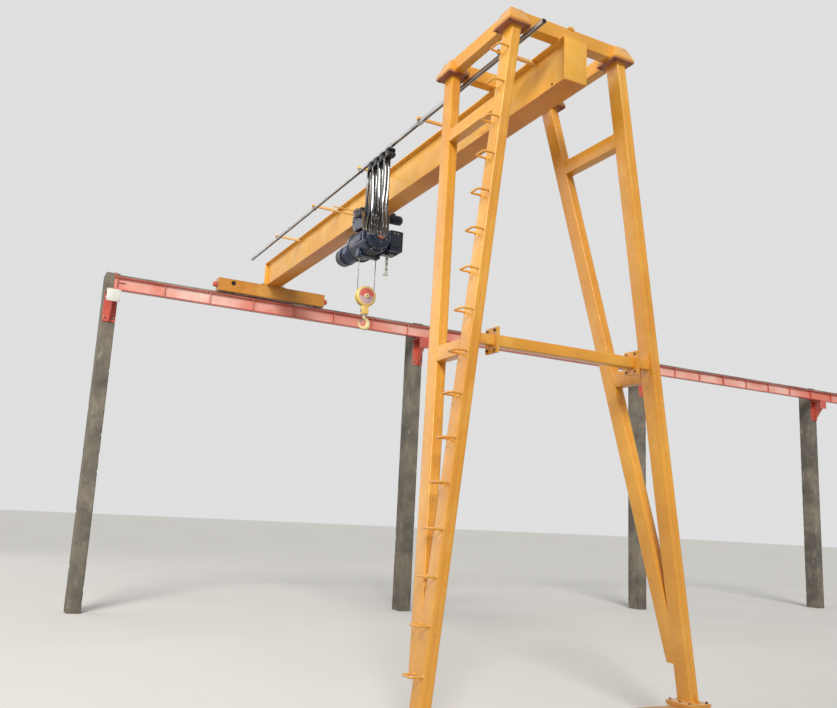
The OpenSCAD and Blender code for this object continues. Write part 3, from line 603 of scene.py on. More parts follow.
def smooth_line(points):
    """Catmull-Rom curve through the points, in up to 6 steps of 12 mm or more a span."""
    pts = [Vector(p) for p in points]
    out = []
    for i in range(len(pts) - 1):
        p0, p1, p2, p3 = pts[max(i - 1, 0)], pts[i], pts[i + 1], pts[min(i + 2, len(pts) - 1)]
        k = (p2 - p1).length
        m1, m2 = (p2 - p0).normalized() * k, (p3 - p1).normalized() * k
        steps = max(2, min(6, int(k / 0.012)))
        for t in [j / steps for j in range(steps)]:
            out.append((2 * t ** 3 - 3 * t ** 2 + 1) * p1 + (t ** 3 - 2 * t ** 2 + t) * m1
                       + (-2 * t ** 3 + 3 * t ** 2) * p2 + (t ** 3 - t ** 2) * m2)
    out.append(pts[-1])
    return out


def cable_turn(q):
    """How far the hanging runs turn about their own length, in radians: none at saddles and loop ends."""
    share = min(max((5.385 - q.z) / 0.090, 0.0), 1.0) * min(max((q.z - 4.72) / 0.30, 0.0), 1.0)
    share = share * share * (3 - 2 * share)
    return math.radians(25 + 4 * math.sin(q.z * 4.0 + q.y * 9.0)) * share * (1 if q.x < -0.39 else 0)


def flat_cable(name, node, shift):
    """Flat cable with slightly crowned faces and rounded edges."""
    line = [q + X * shift for q in smooth_line(CABLE_POINTS)]
    half = 7
    face = [(k / half * (CABLE_W / 2 - 0.0022), CABLE_T / 2 * (1 - 0.36 * (k / half) ** 2))
            for k in range(-half, half + 1)]
    edge = [(CABLE_W / 2 - 0.0008, 0.0015), (CABLE_W / 2, 0.0)]
    outline = [(-x, y) for x, y in reversed(edge)] + face + edge
    outline += [(x, -y) for x, y in reversed(outline[1:-1])]
    rings = []
    for q, d in directed(line):
        u = d.cross(Vector((0, -d.z, d.y))).normalized()
        w = d.cross(u)
        turn = -cable_turn(q) * d.z
        u, w = u * math.cos(turn) + w * math.sin(turn), w * math.cos(turn) - u * math.sin(turn)
        rings.append([q + u * x + w * y for x, y in outline])
    p = Piece(name, SHEATH)
    p.loft(rings, smooth=True)
    cable = p.done("hoist", node, sharp=60)
    length = sum((b - a).length for a, b in zip(line, line[1:]))
    tuple(line[0])
    [list(q) for q in line]


flat_cable("festoon_flat_cable", "festoon_cable", -CABLE_STEP / 2)
flat_cable("festoon_flat_lead", "festoon_lead", CABLE_STEP / 2)


# Building side: columns, their edges knocked here and there
for i in range(4):
    node = f"column_{i + 1}"
    lo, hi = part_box(node)
    mid, rows = (lo + hi) / 2, 120
    rings = []
    for k in range(rows + 1):
        ring = []
        for x, y in rounded(hi.x - lo.x, hi.y - lo.y, 0.012, 2):
            pull = 1 - max(0.0, RNG.random() - 0.80) / 2
            ring.append((mid.x + x * pull, mid.y + y * pull, lo.z + (hi.z - lo.z) * k / rows))
        rings.append(ring)
    p = Piece(node + "_cast", CONCRETE)
    p.loft(rings)
    p.done("root", node, sharp=25)


# Runway beam, brackets and rail stay CAD parts with their own finish; welds and bolts are added
def stitch(p, x, end, step, length, y, z):
    """Broken fillet welds along both edges of a rail's base, from x to end."""
    for x in stations(x, end, step):
        for s in BOTH:
            p.bead((x, y + s * 0.0225, z), (x + length, y + s * 0.0225, z), 0.004)


# The runway beam's paint carries a painted pale sheen on its web.
paint_node("runway_beam", RUNWAY_RED_SHEEN)
paint_node("runway_rail", RAIL)
paint_node("ground_rail", RAIL)
beam_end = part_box("runway_beam")[1].x
p = Piece("runway_welds_and_bolts", RUNWAY_RED_SHEEN, BOLT, PAINTED_SHADE)
for k in range(int((beam_end - FIRST_X - 0.03) / STIFF_STEP) + 1):
    sx = FIRST_X + 0.034 + STIFF_STEP * k
    for x in (sx - 0.006, sx + 0.006):
        p.bead((x, SPAN - 0.007, BEAM_LOW + 0.014), (x, SPAN - 0.007, BEAM_TOP - 0.014), 0.003)
        p.bead((x, SPAN - 0.044, BEAM_LOW + 0.013), (x, SPAN - 0.007, BEAM_LOW + 0.013), 0.003)
stitch(p, FIRST_X + 0.05, beam_end - 0.12, 0.30, 0.09, SPAN, BEAM_TOP + 0.001)
for i in range(4):
    cx = FIRST_X + i * BAY
    for s in BOTH:
        for z in (BEAM_LOW - 0.09, BEAM_LOW - 0.40):
            p.bolt((cx + s * 0.064, 8.088, z), -Y, 0.018, tail=0.012)
        for y in (SPAN - 0.034, SPAN + 0.034):
            p.bolt((cx + s * 0.045, y, BEAM_LOW - 0.012), -Z, 0.014, tail=0.010)
            p.bolt((cx + s * 0.045, y, BEAM_LOW + 0.012), Z, 0.014)
        x = cx + s * 0.006
        p.bead((x, 7.846, BEAM_LOW - 0.014), (x, 8.084, BEAM_LOW - 0.014), 0.004)
        p.bead((x, 8.086, BEAM_LOW - 0.440), (x, 8.086, BEAM_LOW - 0.018), 0.004)
        p.bead((x, NOSE_Y, NOSE_LOW + 0.014), (x, NOSE_Y, BEAM_LOW - 0.018), 0.004)
    p.bead((cx - BRACKET_HALF + 0.004, NOSE_Y, BEAM_LOW - 0.014),
           (cx + BRACKET_HALF - 0.004, NOSE_Y, BEAM_LOW - 0.014), 0.004)
# Slot burnt in the web near the left end, drawn as a thin dark sheet: painted shade in the slot
p.box((FIRST_X + 0.06, SPAN - 0.0052, 4.819), (FIRST_X + 0.17, SPAN - 0.0042, 4.833), 0.0004, 2)
p.done("root")

# Pale cover screwed on the first bracket's nose plate
p = Piece("bracket_cover_plate", PALE, BOLT, at=(FIRST_X, 7.8195, 0))
p.box((-BRACKET_HALF - 0.002, 0, NOSE_LOW - 0.002), (BRACKET_HALF + 0.002, 0.008, BEAM_LOW - 0.004), 0.003)
for s, z in product(BOTH, (NOSE_LOW + 0.016, BEAM_LOW - 0.022)):
    p.bolt((s * (BRACKET_HALF - 0.016), 0, z), -Y, 0.007, washer=False)
p.done("root")

# Ground rail: stitch welds and anchor bolts
lo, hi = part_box("ground_rail")
p = Piece("ground_rail_fixings", RAIL, BOLT)
stitch(p, lo.x + 0.12, hi.x - 0.15, 0.26, 0.08, 0, 0.0115)
for x in stations(lo.x + 0.20, hi.x - 0.1, 0.78):
    for s in BOTH:
        p.bolt((x, s * 0.056, 0.010), Z, 0.013, tail=0.010)
p.done("root")


# Wheels: two flanges, hub and axle end
def wheel(p, x, y, z, r):
    width = 0.064
    rim = [(0, 0.030), (0, r * 0.50), (0.006, r * 0.56), (0.006, r * 0.84), (0, r * 0.90),
           (0.001, r + 0.0045), (0.006, r + 0.005), (0.008, r - 0.0006)]
    at = Vector((x, y - width / 2, z))
    p.lathe(at, Y, mirrored(rim, width), [0] * 7 + [1] + [0] * 7, 48)
    p.rod(at - Y * 0.004, at + Y * (width + 0.004), 0.022, 1, 24)


for name, base, y, z, r in (("ground_wheels", 1.218, 0, 0.1073, 0.062),
                            ("far_wheels", 0.700, SPAN, 5.0263, 0.080)):
    p = Piece(name + "_turned", TREAD, BOLT)
    for s in BOTH:
        wheel(p, s * base, y, z, r)
    p.done("crane", name)

# Buffers: ribbed rubber on a steel back plate
for name, half, y, z in (("ground_buffers", 1.363, 0, 0.128), ("far_buffers", 0.8975, SPAN, 5.061)):
    p = Piece(name + "_ribbed", BUFFER, BOLT)
    for s in BOTH:
        p.lathe((s * half, y, z), X * s,
                [(0, 0.046), (0.006, 0.046), (0.007, 0.042), (0.018, 0.0425), (0.020, 0.0395),
                 (0.024, 0.0395), (0.026, 0.043), (0.042, 0.043), (0.044, 0.0395), (0.048, 0.0395),
                 (0.050, 0.043), (0.060, 0.042), (0.067, 0.036), (0.070, 0.024)], [1, 1] + [0] * 11, 40)
        p.lathe((s * (half + 0.069), y, z), X * s, [(0, 0.012), (0.0008, 0.011)], 1, 18)
    p.done("crane", name)

# Carriages stay CAD parts; bearing plates, bolts and welds are added
paint_node("ground_carriage", CARRIAGE)
paint_node("far_carriage", CARRIAGE)
p = Piece("carriage_bearings_and_bolts", CARRIAGE, BOLT, PAINTED_SHADE)
for base, y, half, low, top, z, faces in ((1.218, 0, 0.090, 0.078, 0.160, 0.1073, BOTH),
                                          (0.700, SPAN, 0.085, 4.984, 5.078, 5.0263, (1,))):
    for s, q in product(BOTH, faces):
        x, face = s * base, y + q * half
        out = face + q * 0.010
        p.box((x - 0.055, face, low), (x + 0.055, out, top), 0.003)
        p.lathe((x, out, z), Y * q, [(0, 0.026), (0.008, 0.026), (0.011, 0.021)], 1, 28)
        for dx, bz in product((-0.043, 0.043), (low + 0.013, top - 0.013)):
            p.bolt((x + dx, out, bz), Y * q, 0.010)
# Weld lines along the carriages' edges
for s in BOTH:
    p.bead((-1.35, s * 0.0905, 0.182), (1.35, s * 0.0905, 0.182), 0.0025, 0.03)
    p.bead((-0.89, SPAN + s * 0.0855, 5.158), (0.89, SPAN + s * 0.0855, 5.158), 0.0025, 0.03)
# Lid bolts on top of the far carriage
for x, dy in product((-0.60, -0.545, 0.52, 0.60), (-0.05, 0.05)):
    p.bolt((x, SPAN + dy, CARRIAGE_TOP), Z, 0.010, tail=0.006)
# Painted shade: a dark disc at the bottom of the sight hole
p.lathe((-0.6575, 7.824, 5.100), -Y, [(0, 0.0375), (0.0005, 0.037)], 2)
# Seat plates between the girder and the far carriage, with bolts
for s in BOTH:
    p.box((s * 0.115, SPAN - 0.083, CARRIAGE_TOP), (s * 0.205, SPAN + 0.083, CARRIAGE_TOP + 0.012))
    for dy in (-0.055, 0.055):
        p.bolt((s * 0.165, SPAN + dy, CARRIAGE_TOP + 0.012), Z, 0.016, tail=0.010)
p.done("crane")


def leg_weld(p, m, z, r):
    """Weld seams round a leg's end at height z, where m is the leg's middle."""
    for a, b in zip(CORNERS[-1:] + CORNERS, CORNERS):
        p.bead(*[(m.x + x * LEG_W / 2, m.y + y * LEG_D / 2, z) for x, y in (a, b)], r)


# Feet: two bolted plates on a pad, weld seams round the legs and stiffening ribs
for s, node in zip(BOTH, ("foot_left", "foot_right")):
    lo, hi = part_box(node)
    p = Piece(node + "_plates", YELLOW, DARK_BOLT)
    p.box((lo.x + 0.006, lo.y + 0.006, lo.z), (hi.x - 0.006, hi.y - 0.006, hi.z - 0.0245))
    for low, top in ((0.024, 0.013), (0.011, 0)):
        p.box((lo.x, lo.y, hi.z - low), (hi.x, hi.y, hi.z - top), 0.001)
    for x, y in product((lo.x + 0.026, hi.x - 0.026), (lo.y + 0.024, (lo.y + hi.y) / 2, hi.y - 0.024)):
        p.bolt((x, y, hi.z), Z, 0.012, tail=0.005)
    m = near_mid(s, FOOT_Z)
    leg_weld(p, m, FOOT_Z + 0.003, 0.006)
    for e in BOTH:
        y = m.y + e * LEG_D / 2
        p.plate([(y, FOOT_Z), (y + e * 0.045, FOOT_Z), (y + e * 0.045, FOOT_Z + 0.012), (y, FOOT_Z + 0.075)],
                "x", m.x - 0.004, m.x + 0.004)
    p.done("crane", node)

# Legs: two channels welded toe to toe, so a seam runs down the front and the back
half = [(0, 0.0035 - LEG_D / 2), (0.0045, 0.0008 - LEG_D / 2), (0.008, -LEG_D / 2)]
half += rounded(LEG_W, LEG_D, 0.009)[:5]
half += [(x, -y) for x, y in reversed(half)]
LEG_SECTION = half + [(-x, y) for x, y in reversed(half[1:-1])]


def leg(name, a, b, cut=None):
    """Leg from a to b; cut is a plane's point and normal, beyond which the leg is taken away."""
    p = Piece(name + "_channels", YELLOW)
    p.loft([[a.lerp(b, k / 11) + Vector((x, y, 0)) for x, y in LEG_SECTION] for k in range(12)])
    if cut:
        geom = p.bm.verts[:] + p.bm.edges[:] + p.bm.faces[:]
        out = bmesh.ops.bisect_plane(p.bm, geom=geom, plane_co=cut[0], plane_no=cut[1], clear_outer=True)
        edges = [e for e in out["geom_cut"] if isinstance(e, bmesh.types.BMEdge)]
        bmesh.ops.holes_fill(p.bm, edges=edges, sides=0)
    for s in BOTH:
        off = Y * s * (LEG_D / 2 - 0.0014)
        low, top = a + off, b + off
        p.bead(low.lerp(top, 0.06) if cut and s < 0 else low, top, 0.0036, 0.022)
    p.done("crane", name)


def face_plane(mid, s, low, off):
    """Point and backward normal of a leg's face that lies off from the middle line given by mid."""
    a = mid(s, low)
    return a + Y * off, (mid(s, LEG_TOP) - a).normalized().cross(X)


def brace(p, s, z):
    """Box between a near leg and a far leg, its ends on their faces, with the welds there."""
    a, b = near_mid(s, z), near_mid(s, z + BRACE_H)
    outline = [(a.x + (b.x - a.x) * (dz / BRACE_H + 0.5) + x, z + BRACE_H / 2 + dz)
               for x, dz in rounded(LEG_W, BRACE_H, 0.008, 3)]
    planes = (face_plane(near_mid, s, FOOT_Z, LEG_D / 2), face_plane(far_mid, s, FAR_FOOT_Z, -LEG_D / 2))
    p.loft([[(x, at.y - (h - at.z) * n.z / n.y, h) for x, h in outline] for at, n in planes])
    # Fillet welds where the brace meets both legs
    for m in (a, b):
        for y in (m.y + LEG_D / 2, far_mid(s, m.z).y - LEG_D / 2):
            p.bead((m.x - LEG_W / 2 + 0.004, y, m.z), (m.x + LEG_W / 2 - 0.004, y, m.z), 0.005)
    for q in BOTH:
        for mid, off in ((near_mid, LEG_D / 2), (far_mid, -LEG_D / 2)):
            p.bead(*[mid(s, h) + Vector((q * (LEG_W / 2 - 0.001), off, up))
                     for h, up in ((z, 0.004), (z + BRACE_H, -0.004))], 0.004)


for s, word in zip(BOTH, ("left", "right")):
    leg("near_leg_" + word, near_mid(s, FOOT_Z), near_mid(s, LEG_TOP))
    point, n = face_plane(near_mid, s, FOOT_Z, LEG_D / 2)
    leg("far_leg_" + word, far_mid(s, FAR_FOOT_Z), far_mid(s, LEG_TOP), (point, -n))
    # Seam between the two legs, filled flush below their parting point
    p = Piece("seam_filler_" + word, YELLOW)
    w, d = LEG_W / 2 + 0.0004, 0.013
    rings = []
    for z, k in ((FAR_FOOT_Z + 0.004, 1), (0.800, 1), (0.880, 0.7), (0.915, 0.15)):
        c = near_mid(s, z) + Y * LEG_D / 2
        rings.append([c + Vector((x, y * k, 0)) for x, y in ((-w, -d), (w, -d), (w, d), (-w, d))])
    p.loft(rings)
    p.done("crane")
    p = Piece(f"braces_{word}_boxes", YELLOW)
    for z in (4.807, 2.747):
        brace(p, s, z)
    p.done("crane", "braces_" + word)


def inner_face(s, z):
    """X of a near leg's inner face at height z."""
    return near_mid(s, z).x - s * LEG_W / 2


# Tie beam: middle box between two bolted joints, stubs on the legs
p = Piece("tie_beam_bolted", YELLOW, DARK_BOLT)
ty = near_mid(1, TIE_Z).y
p.along("x", (ty, TIE_Z), -TIE_HALF + 0.012, TIE_HALF - 0.012, rounded(TIE_W, TIE_W, 0.008), rows=6)
for s in BOTH:
    x0 = s * TIE_HALF
    for q in BOTH:
        p.plate([(ty - 0.080, TIE_Z - 0.098), (ty + 0.080, TIE_Z - 0.098), (ty + 0.080, TIE_Z + 0.098),
                 (ty - 0.080, TIE_Z + 0.098)], "x", x0 + q * 0.0006, x0 + q * 0.012)
    for y, z in product((ty - 0.052, ty + 0.052), (TIE_Z - 0.074, TIE_Z + 0.074)):
        p.bolt((x0 + s * 0.012, y, z), X * s, 0.012, tail=0.006)
        p.bolt((x0 - s * 0.012, y, z), X * -s, 0.012)
    stub = rounded(TIE_W - 0.010, TIE_W - 0.010, 0.008)
    p.along("x", (ty, TIE_Z), x0 + s * 0.012, inner_face(s, TIE_Z - 0.04) + s * 0.006, stub)
    for z in (TIE_Z - 0.040, TIE_Z + 0.040):
        x = inner_face(s, z)
        p.bead((x, ty - 0.036, z), (x, ty + 0.036, z), 0.005)
    for y in (ty - 0.040, ty + 0.040):
        p.bead(*[(inner_face(s, z), y, z) for z in (TIE_Z - 0.036, TIE_Z + 0.036)], 0.005)
    for q in BOTH:
        x = x0 + q * 0.0125
        h = TIE_W / 2 - (0 if q * s < 0 else 0.005)
        for z in (TIE_Z - h, TIE_Z + h):
            p.bead((x, ty - h + 0.006, z), (x, ty + h - 0.006, z), 0.004)
        for y in (ty - h, ty + h):
            p.bead((x, y, TIE_Z - h + 0.006), (x, y, TIE_Z + h - 0.006), 0.004)
p.done("crane", "tie_beam")


# Head frame: box beams with flared shoes over the leg plates
def shoe(p, x, y):
    """Flared end over a leg: sloping plates, cap plate, leg plate, bolts and weld lines."""
    w, d, top_w, top_d = CAP_X / 2, CAP_Y / 2, SIDE_W * 0.7, HEAD_W * 0.6
    # Its top lies a little under the beams' top, so that no two faces share a plane
    z0, z1 = GIRDER_TOP, GIRDER_TOP + HEAD_H - 0.0016
    levels = ((z0, w, d), (z0 + 0.010, w - 0.002, d - 0.002), (z1 - 0.003, top_w, top_d),
              (z1, top_w - 0.003, top_d - 0.003))
    p.loft([[(x + dx, y + dy, z) for dx, dy in rounded(2 * hx, 2 * hy, 0.003, 2)] for z, hx, hy in levels])
    for low, top, mat in ((CAP_T - 0.0006, 0, 0), (2 * CAP_T, CAP_T + 0.0006, 2)):
        p.box((x - w, y - d, z0 - low), (x + w, y + d, z0 - top), 0.001, mat)
    for ex, ey in product(BOTH, BOTH):
        p.bolt((x + ex * (w - 0.026), y + ey * (d - 0.022), z0 - 2 * CAP_T), -Z, 0.011, tail=0.005)
    for ex in BOTH:
        p.bead((x + ex * w, y - d + 0.008, z0 + 0.001), (x + ex * w, y + d - 0.008, z0 + 0.001), 0.003)
        for ey in BOTH:
            p.bead((x + ex * (w - 0.0035), y + ey * (d - 0.0035), z0 + 0.012),
                   (x + ex * (top_w - 0.001), y + ey * (top_d - 0.001), z1 - 0.006), 0.0016)
    for ey in BOTH:
        p.bead((x - w + 0.008, y + ey * d, z0 + 0.001), (x + w - 0.008, y + ey * d, z0 + 0.001), 0.003)


for s, word in zip(BOTH, ("left", "right")):
    p = Piece(f"side_beam_{word}_box", YELLOW, DARK_BOLT, PRIMED)
    x = s * TOP_HALF
    p.along("y", (x, GIRDER_TOP + HEAD_H / 2), NEAR_TOP_Y, FAR_TOP_Y, rounded(SIDE_W, HEAD_H, 0.008), rows=5)
    for y, mid in ((NEAR_TOP_Y, near_mid), (FAR_TOP_Y, far_mid)):
        shoe(p, x, y)
        leg_weld(p, mid(s, LEG_TOP), LEG_TOP - 0.003, 0.005)
    p.done("crane", "side_beam_" + word)

for node, y in (("front_beam", NEAR_TOP_Y), ("rear_beam", FAR_TOP_Y)):
    p = Piece(node + "_box", YELLOW)
    end = TOP_HALF - SIDE_W * 0.7 + 0.012
    p.along("x", (y, GIRDER_TOP + HEAD_H / 2), -end, end, rounded(HEAD_W, HEAD_H, 0.008), rows=7)
    for q, s in product(BOTH, BOTH):
        face = y + q * HEAD_W / 2
        p.bead((s * 0.112, face, GIRDER_TOP + 0.003), (-s * 0.112, face, GIRDER_TOP + 0.003), 0.005)
    if node == "front_beam":
        # Lifting lug on the beam's top edge
        face = y - HEAD_W / 2
        p.plate([(-0.020, 5.694), (0.050, 5.694), (0.046, 5.712), (0.034, 5.722), (0, 5.722),
                 (-0.016, 5.712)], "y", face - 0.004, face + 0.008)
        p.bead((-0.018, face - 0.003, 5.695), (0.048, face - 0.003, 5.695), 0.004)
    p.done("crane", node)

# Girder: upper flange, webs, end plates and their long fillet welds
# The girder takes the paler paint with the painted highlight.
p = Piece("girder_box_welded", GIRDER_YELLOW_LIT, PAINTED_SHADE)
low, top, rows = GIRDER_Z + FLANGE_T, GIRDER_TOP - FLANGE_T, 34
p.box((-FLANGE_W / 2, GIRDER_NEAR, top), (FLANGE_W / 2, GIRDER_FAR, GIRDER_TOP), 0.003)
for s in BOTH:
    x0, x1 = sorted((s * WEB_W / 2, s * (WEB_W / 2 - 0.006)))
    rings = []
    for k in range(rows + 1):
        y = GIRDER_NEAR + 0.010 + (GIRDER_FAR - GIRDER_NEAR - 0.020) * k / rows
        bow = 0.0012 * math.sin(k * 1.9 + s) if 0 < k < rows else 0
        rings.append([(x + bow, y, z) for x, z in ((x0, low), (x1, low), (x1, top), (x0, top))])
    p.loft(rings)
    x = s * (WEB_W / 2 + 0.001)
    for z in (GIRDER_Z + 0.014, GIRDER_TOP - 0.014):
        p.bead((x, GIRDER_NEAR + 0.012, z), (x, GIRDER_FAR - 0.012, z), 0.005, 0.034)
for y in (GIRDER_NEAR, GIRDER_FAR - 0.010):
    p.box((-FLANGE_W / 2, y, low), (FLANGE_W / 2, y + 0.010, top - 0.0005))
y = GIRDER_NEAR + 0.001
for x in (-0.1145, 0.1145):
    p.bead((x, y, GIRDER_Z + 0.016), (x, y, GIRDER_TOP - 0.004), 0.0025)
for z in (GIRDER_TOP - 0.0125, GIRDER_Z + 0.012):
    p.bead((-0.112, y, z), (0.112, y, z), 0.003)
# Drilled hole low in the near web, drawn as a thin dark disc: painted shade in the hole
p.lathe((-WEB_W / 2 - 0.0008, 0.214, 5.239), X, [(0, 0.011), (0.0006, 0.010)], 1, 20)
p.done("crane", "girder_box")

p = Piece("girder_lower_flange", FLANGE)
p.box((-FLANGE_W / 2, GIRDER_NEAR, GIRDER_Z), (FLANGE_W / 2, GIRDER_FAR, low), 0.003)
p.done("crane", "girder_bottom_flange")

# Stops for the trolley at both ends of the lower flange
p = Piece("trolley_stops", YELLOW)
outline = ((-0.05, 0.012), (0.03, 0.012), (0.03, 0.075), (0, 0.085), (-0.05, 0.040))
for x, (y, q) in product((-0.092, 0.092), ((1.30, 1), (7.55, -1))):
    p.plate([(y + q * dy, GIRDER_Z + dz) for dy, dz in outline], "x", x - 0.005, x + 0.005)
    p.bead((x + 0.006, y - q * 0.045, GIRDER_Z + 0.014), (x + 0.006, y + q * 0.025, GIRDER_Z + 0.014), 0.004)
p.done("crane")

# Ladder: bent rods welded to the leg
p = Piece("ladder_bent_rungs", YELLOW)
step = 0.324 * (LEG_TOP - FOOT_Z) / (near_mid(-1, LEG_TOP) - near_mid(-1, FOOT_Z)).length
for i in range(16):
    m = near_mid(-1, LEG_TOP - 0.212 - i * step)
    face, r = m.x - LEG_W / 2, 0.020
    tilt = (RNG.random() - 0.5) * 0.006
    line = [(0.002, 0.060, 0)]
    for a in [math.radians(22.5 * k) for k in range(5)]:
        line.append((r - 0.095 - r * math.sin(a), 0.060 - r + r * math.cos(a), tilt))
    p.tube([(face + x, m.y - y, m.z + z) for x, y, z in line]
           + [(face + x, m.y + y, m.z + z) for x, y, z in reversed(line)], 0.009, 0, 14)
    for dy in (-0.060, 0.060):
        p.lathe((face + 0.001, m.y + dy, m.z), -X, [(0, 0.0155), (0.003, 0.014), (0.008, 0.0095)], 0, 16)
p.done("crane", "ladder_rungs")

# Festoon track stays a CAD part; arms with their clamps, joints and end stops are added
paint_node("festoon_track", ZINC)
p = Piece("festoon_arms_square", CREAM, BOLT, at=(-TRACK_X, 0, TRACK_Z + 0.032))
web = TRACK_X - WEB_W / 2
for y in [0.460 + 1.490 * i for i in range(5)]:
    p.along("x", (y, 0.015), -0.043, web, rounded(0.030, 0.030, 0.003, 2), rows=3)
    p.box((-0.030, y - 0.026, -0.0005), (0.030, y + 0.026, 0.0035), 0.001, 1)
    for s in BOTH:
        p.box((s * 0.0195 - 0.0025, y - 0.022, -0.036), (s * 0.0195 + 0.0025, y + 0.022, 0.002), 0.001, 1)
        p.bolt((s * 0.022, y, -0.016), X * s, 0.008)
        p.bolt((0, y + s * 0.019, 0.0035), Z, 0.008)
    for dy in (-0.015, 0.015):
        p.bead((web - 0.001, y + dy, 0.002), (web - 0.001, y + dy, 0.028), 0.004)
p.done("crane", "festoon_arms")
p = Piece("festoon_track_joints", ZINC, BOLT, BLACK, at=(-TRACK_X, 0, TRACK_Z))
for y in (1.95, 5.85):
    p.box((-0.0205, y - 0.06, -0.002), (0.0205, y + 0.06, 0.0315), 0.001)
    for s, dy in product(BOTH, (-0.04, 0.04)):
        p.bolt((s * 0.0205, y + dy, 0.016), X * s, 0.007)
for y in (-0.163, 7.703):
    p.box((-0.017, y - 0.003, 0), (0.017, y + 0.003, 0.032), 0.001, 2)
p.done("crane")

# Trolley frame: side plates with axle caps and bolts, and two spacers
p = Piece("trolley_side_plates", NAVY, BOLT, at=(0, HOIST_Y, GIRDER_Z))
half, low, top, face = 0.230, -0.122, 0.183, PLATE_X + PLATE_T
outline = [(-half, -0.040), (0.060 - half, low), (half - 0.060, low), (half, -0.040), (half, top),
           (half - 0.110, top), (half - 0.160, top - 0.060), (-half, top - 0.060)]
for s in BOTH:
    p.plate(outline, "x", s * PLATE_X, s * face, 0.002)
    for y in (-AXLE_Y, AXLE_Y):
        p.lathe((s * face, y, AXLE_UP), X * s,
                [(0, 0.034), (0.004, 0.034), (0.006, 0.030), (0.006, 0.020), (0.010, 0.019)])
        p.bolt((s * (face + 0.010), y, AXLE_UP), X * s, 0.018, tail=0.008)
    for y, dz, dy in product((-0.120, 0.120), (0.014, 0.038), (-0.016, 0.016)):
        p.bolt((s * face, y + dy, low + dz), X * s, 0.012)
    for y in (-0.205, 0.205):
        p.bolt((s * face, y, 0.020), X * s, 0.014, tail=0.008)
for y in (-0.120, 0.120):
    p.box((-PLATE_X, y - 0.030, low), (PLATE_X, y + 0.030, low + 0.050), 0.003)
p.done("hoist", "trolley_frame")

# Trolley wheels with a flange and a turned face
p = Piece("trolley_wheels_turned", TREAD, BOLT, at=(0, HOIST_Y, GIRDER_Z + AXLE_UP))
for s, y in product(BOTH, (-AXLE_Y, AXLE_Y)):
    at = (s * (WEB_W / 2 + 0.010), y, 0)
    p.lathe(at, X * s, [(0, 0.016), (0, 0.030), (0.003, 0.034), (0.003, 0.044), (0, 0.050), (0.002, 0.0548),
                        (0.024, 0.0548), (0.026, 0.0548), (0.034, 0.0545), (0.034, 0.030), (0.030, 0.026),
                        (0.030, 0.016)], [0] * 5 + [1] + [0] * 5, 40)
    p.rod(at, (s * PLATE_X, y, 0), 0.014, 1, 20)
p.done("hoist", "trolley_wheels")


def fins(p, at, direction, length, r, count, depth):
    """Motor body with lengthwise cooling fins."""
    d, u, w = across(direction)
    rings = []
    for t, less in ((0, 0.003), (0.004, 0), (length - 0.004, 0), (length, 0.003)):
        ring = []
        for k in range(count * 4):
            a = 2 * math.pi * k / (count * 4)
            radius = (r if k % 4 < 2 else r - depth) - less
            ring.append(Vector(at) + d * t + (u * math.cos(a) + w * math.sin(a)) * radius)
        rings.append(ring)
    p.loft(rings)


# Trolley drive: gearbox against the plate, finned motor, fan cover
p = Piece("trolley_drive", NAVY, BOLT, BLACK, at=(face, HOIST_Y - 0.090, GIRDER_Z + 0.053))
p.box((0, -0.070, -0.070), (0.062, 0.070, 0.070), 0.010, seg=3)
for y, z in product((-0.056, 0.056), (-0.056, 0.056)):
    p.bolt((0.062, y, z), X, 0.010)
p.lathe(X * 0.062, X, [(0, 0.058), (0.010, 0.062), (0.016, 0.062), (0.018, 0.056)], n=36)
fins(p, X * 0.080, X, 0.120, 0.0605, 20, 0.007)
p.lathe(X * 0.200, X, [(0, 0.0605), (0.030, 0.0605), (0.040, 0.058), (0.050, 0.050), (0.061, 0.036),
                       (0.062, 0.020)], n=36)
for k in range(7):
    r = 0.050 - 0.0055 * k
    p.lathe(X * (0.2452 + 0.001 * k), X, [(0, r), (0.0012, r - 0.0015)], 2, 30)
p.box((0.100, -0.026, 0.052), (0.160, 0.026, 0.078), 0.004)
p.done("hoist", "trolley_motor")

# Rope drum casing: end rings with tie bolts, shell, slot with rope guide
p = Piece("drum_casing", NAVY, BOLT, WOUND_ROPE_SHADE, BLACK, at=(0, HOIST_Y, DRUM_Z))
length = DRUM_Y1 - DRUM_Y0
near = Y * (-length / 2)
end = [(0, DRUM_R - 0.010), (0.004, DRUM_R - 0.002), (0.022, DRUM_R - 0.001), (0.026, DRUM_R - 0.010),
       (0.030, DRUM_R - 0.014)]
hoop = [(0.250, DRUM_R - 0.014), (0.252, DRUM_R - 0.010), (0.268, DRUM_R - 0.010), (0.270, DRUM_R - 0.014)]
p.lathe(near, Y, mirrored(end, length, hoop), n=72)
for c in spokes(8):
    q = near + c * (DRUM_R - 0.013)
    p.rod(q + Y * 0.020, q + Y * (length - 0.020), 0.008, 0, 12)
    q = near + c * (DRUM_R - 0.019)
    p.bolt(q + Y * 0.002, -Y, 0.014)
    p.bolt(q + Y * (length - 0.002), Y, 0.014)
# Open band at the drum's underside with the wound rope showing, in a darker copy of the rope's steel: painted
# shade inside the casing
arc = [math.radians(232 + 76 * j / 24) for j in range(25)]
for y in [0.013 * k - 0.205 for k in range(16)]:
    p.tube([(math.cos(a) * (DRUM_R - 0.0155), y, math.sin(a) * (DRUM_R - 0.0155)) for a in arc], 0.0062, 2, 8)
p.box((-0.146, -0.055, -DRUM_R - 0.005), (0.146, 0.055, -0.100), 0.006)
for s in BOTH:
    x = s * FALL_X
    p.box((x - 0.022, -0.020, -DRUM_R - 0.012), (x + 0.022, 0.020, 0.004 - DRUM_R), 0.003, 3)
    for e in BOTH:
        p.bolt((s * 0.128, e * 0.055, -0.160), Y * e, 0.010)
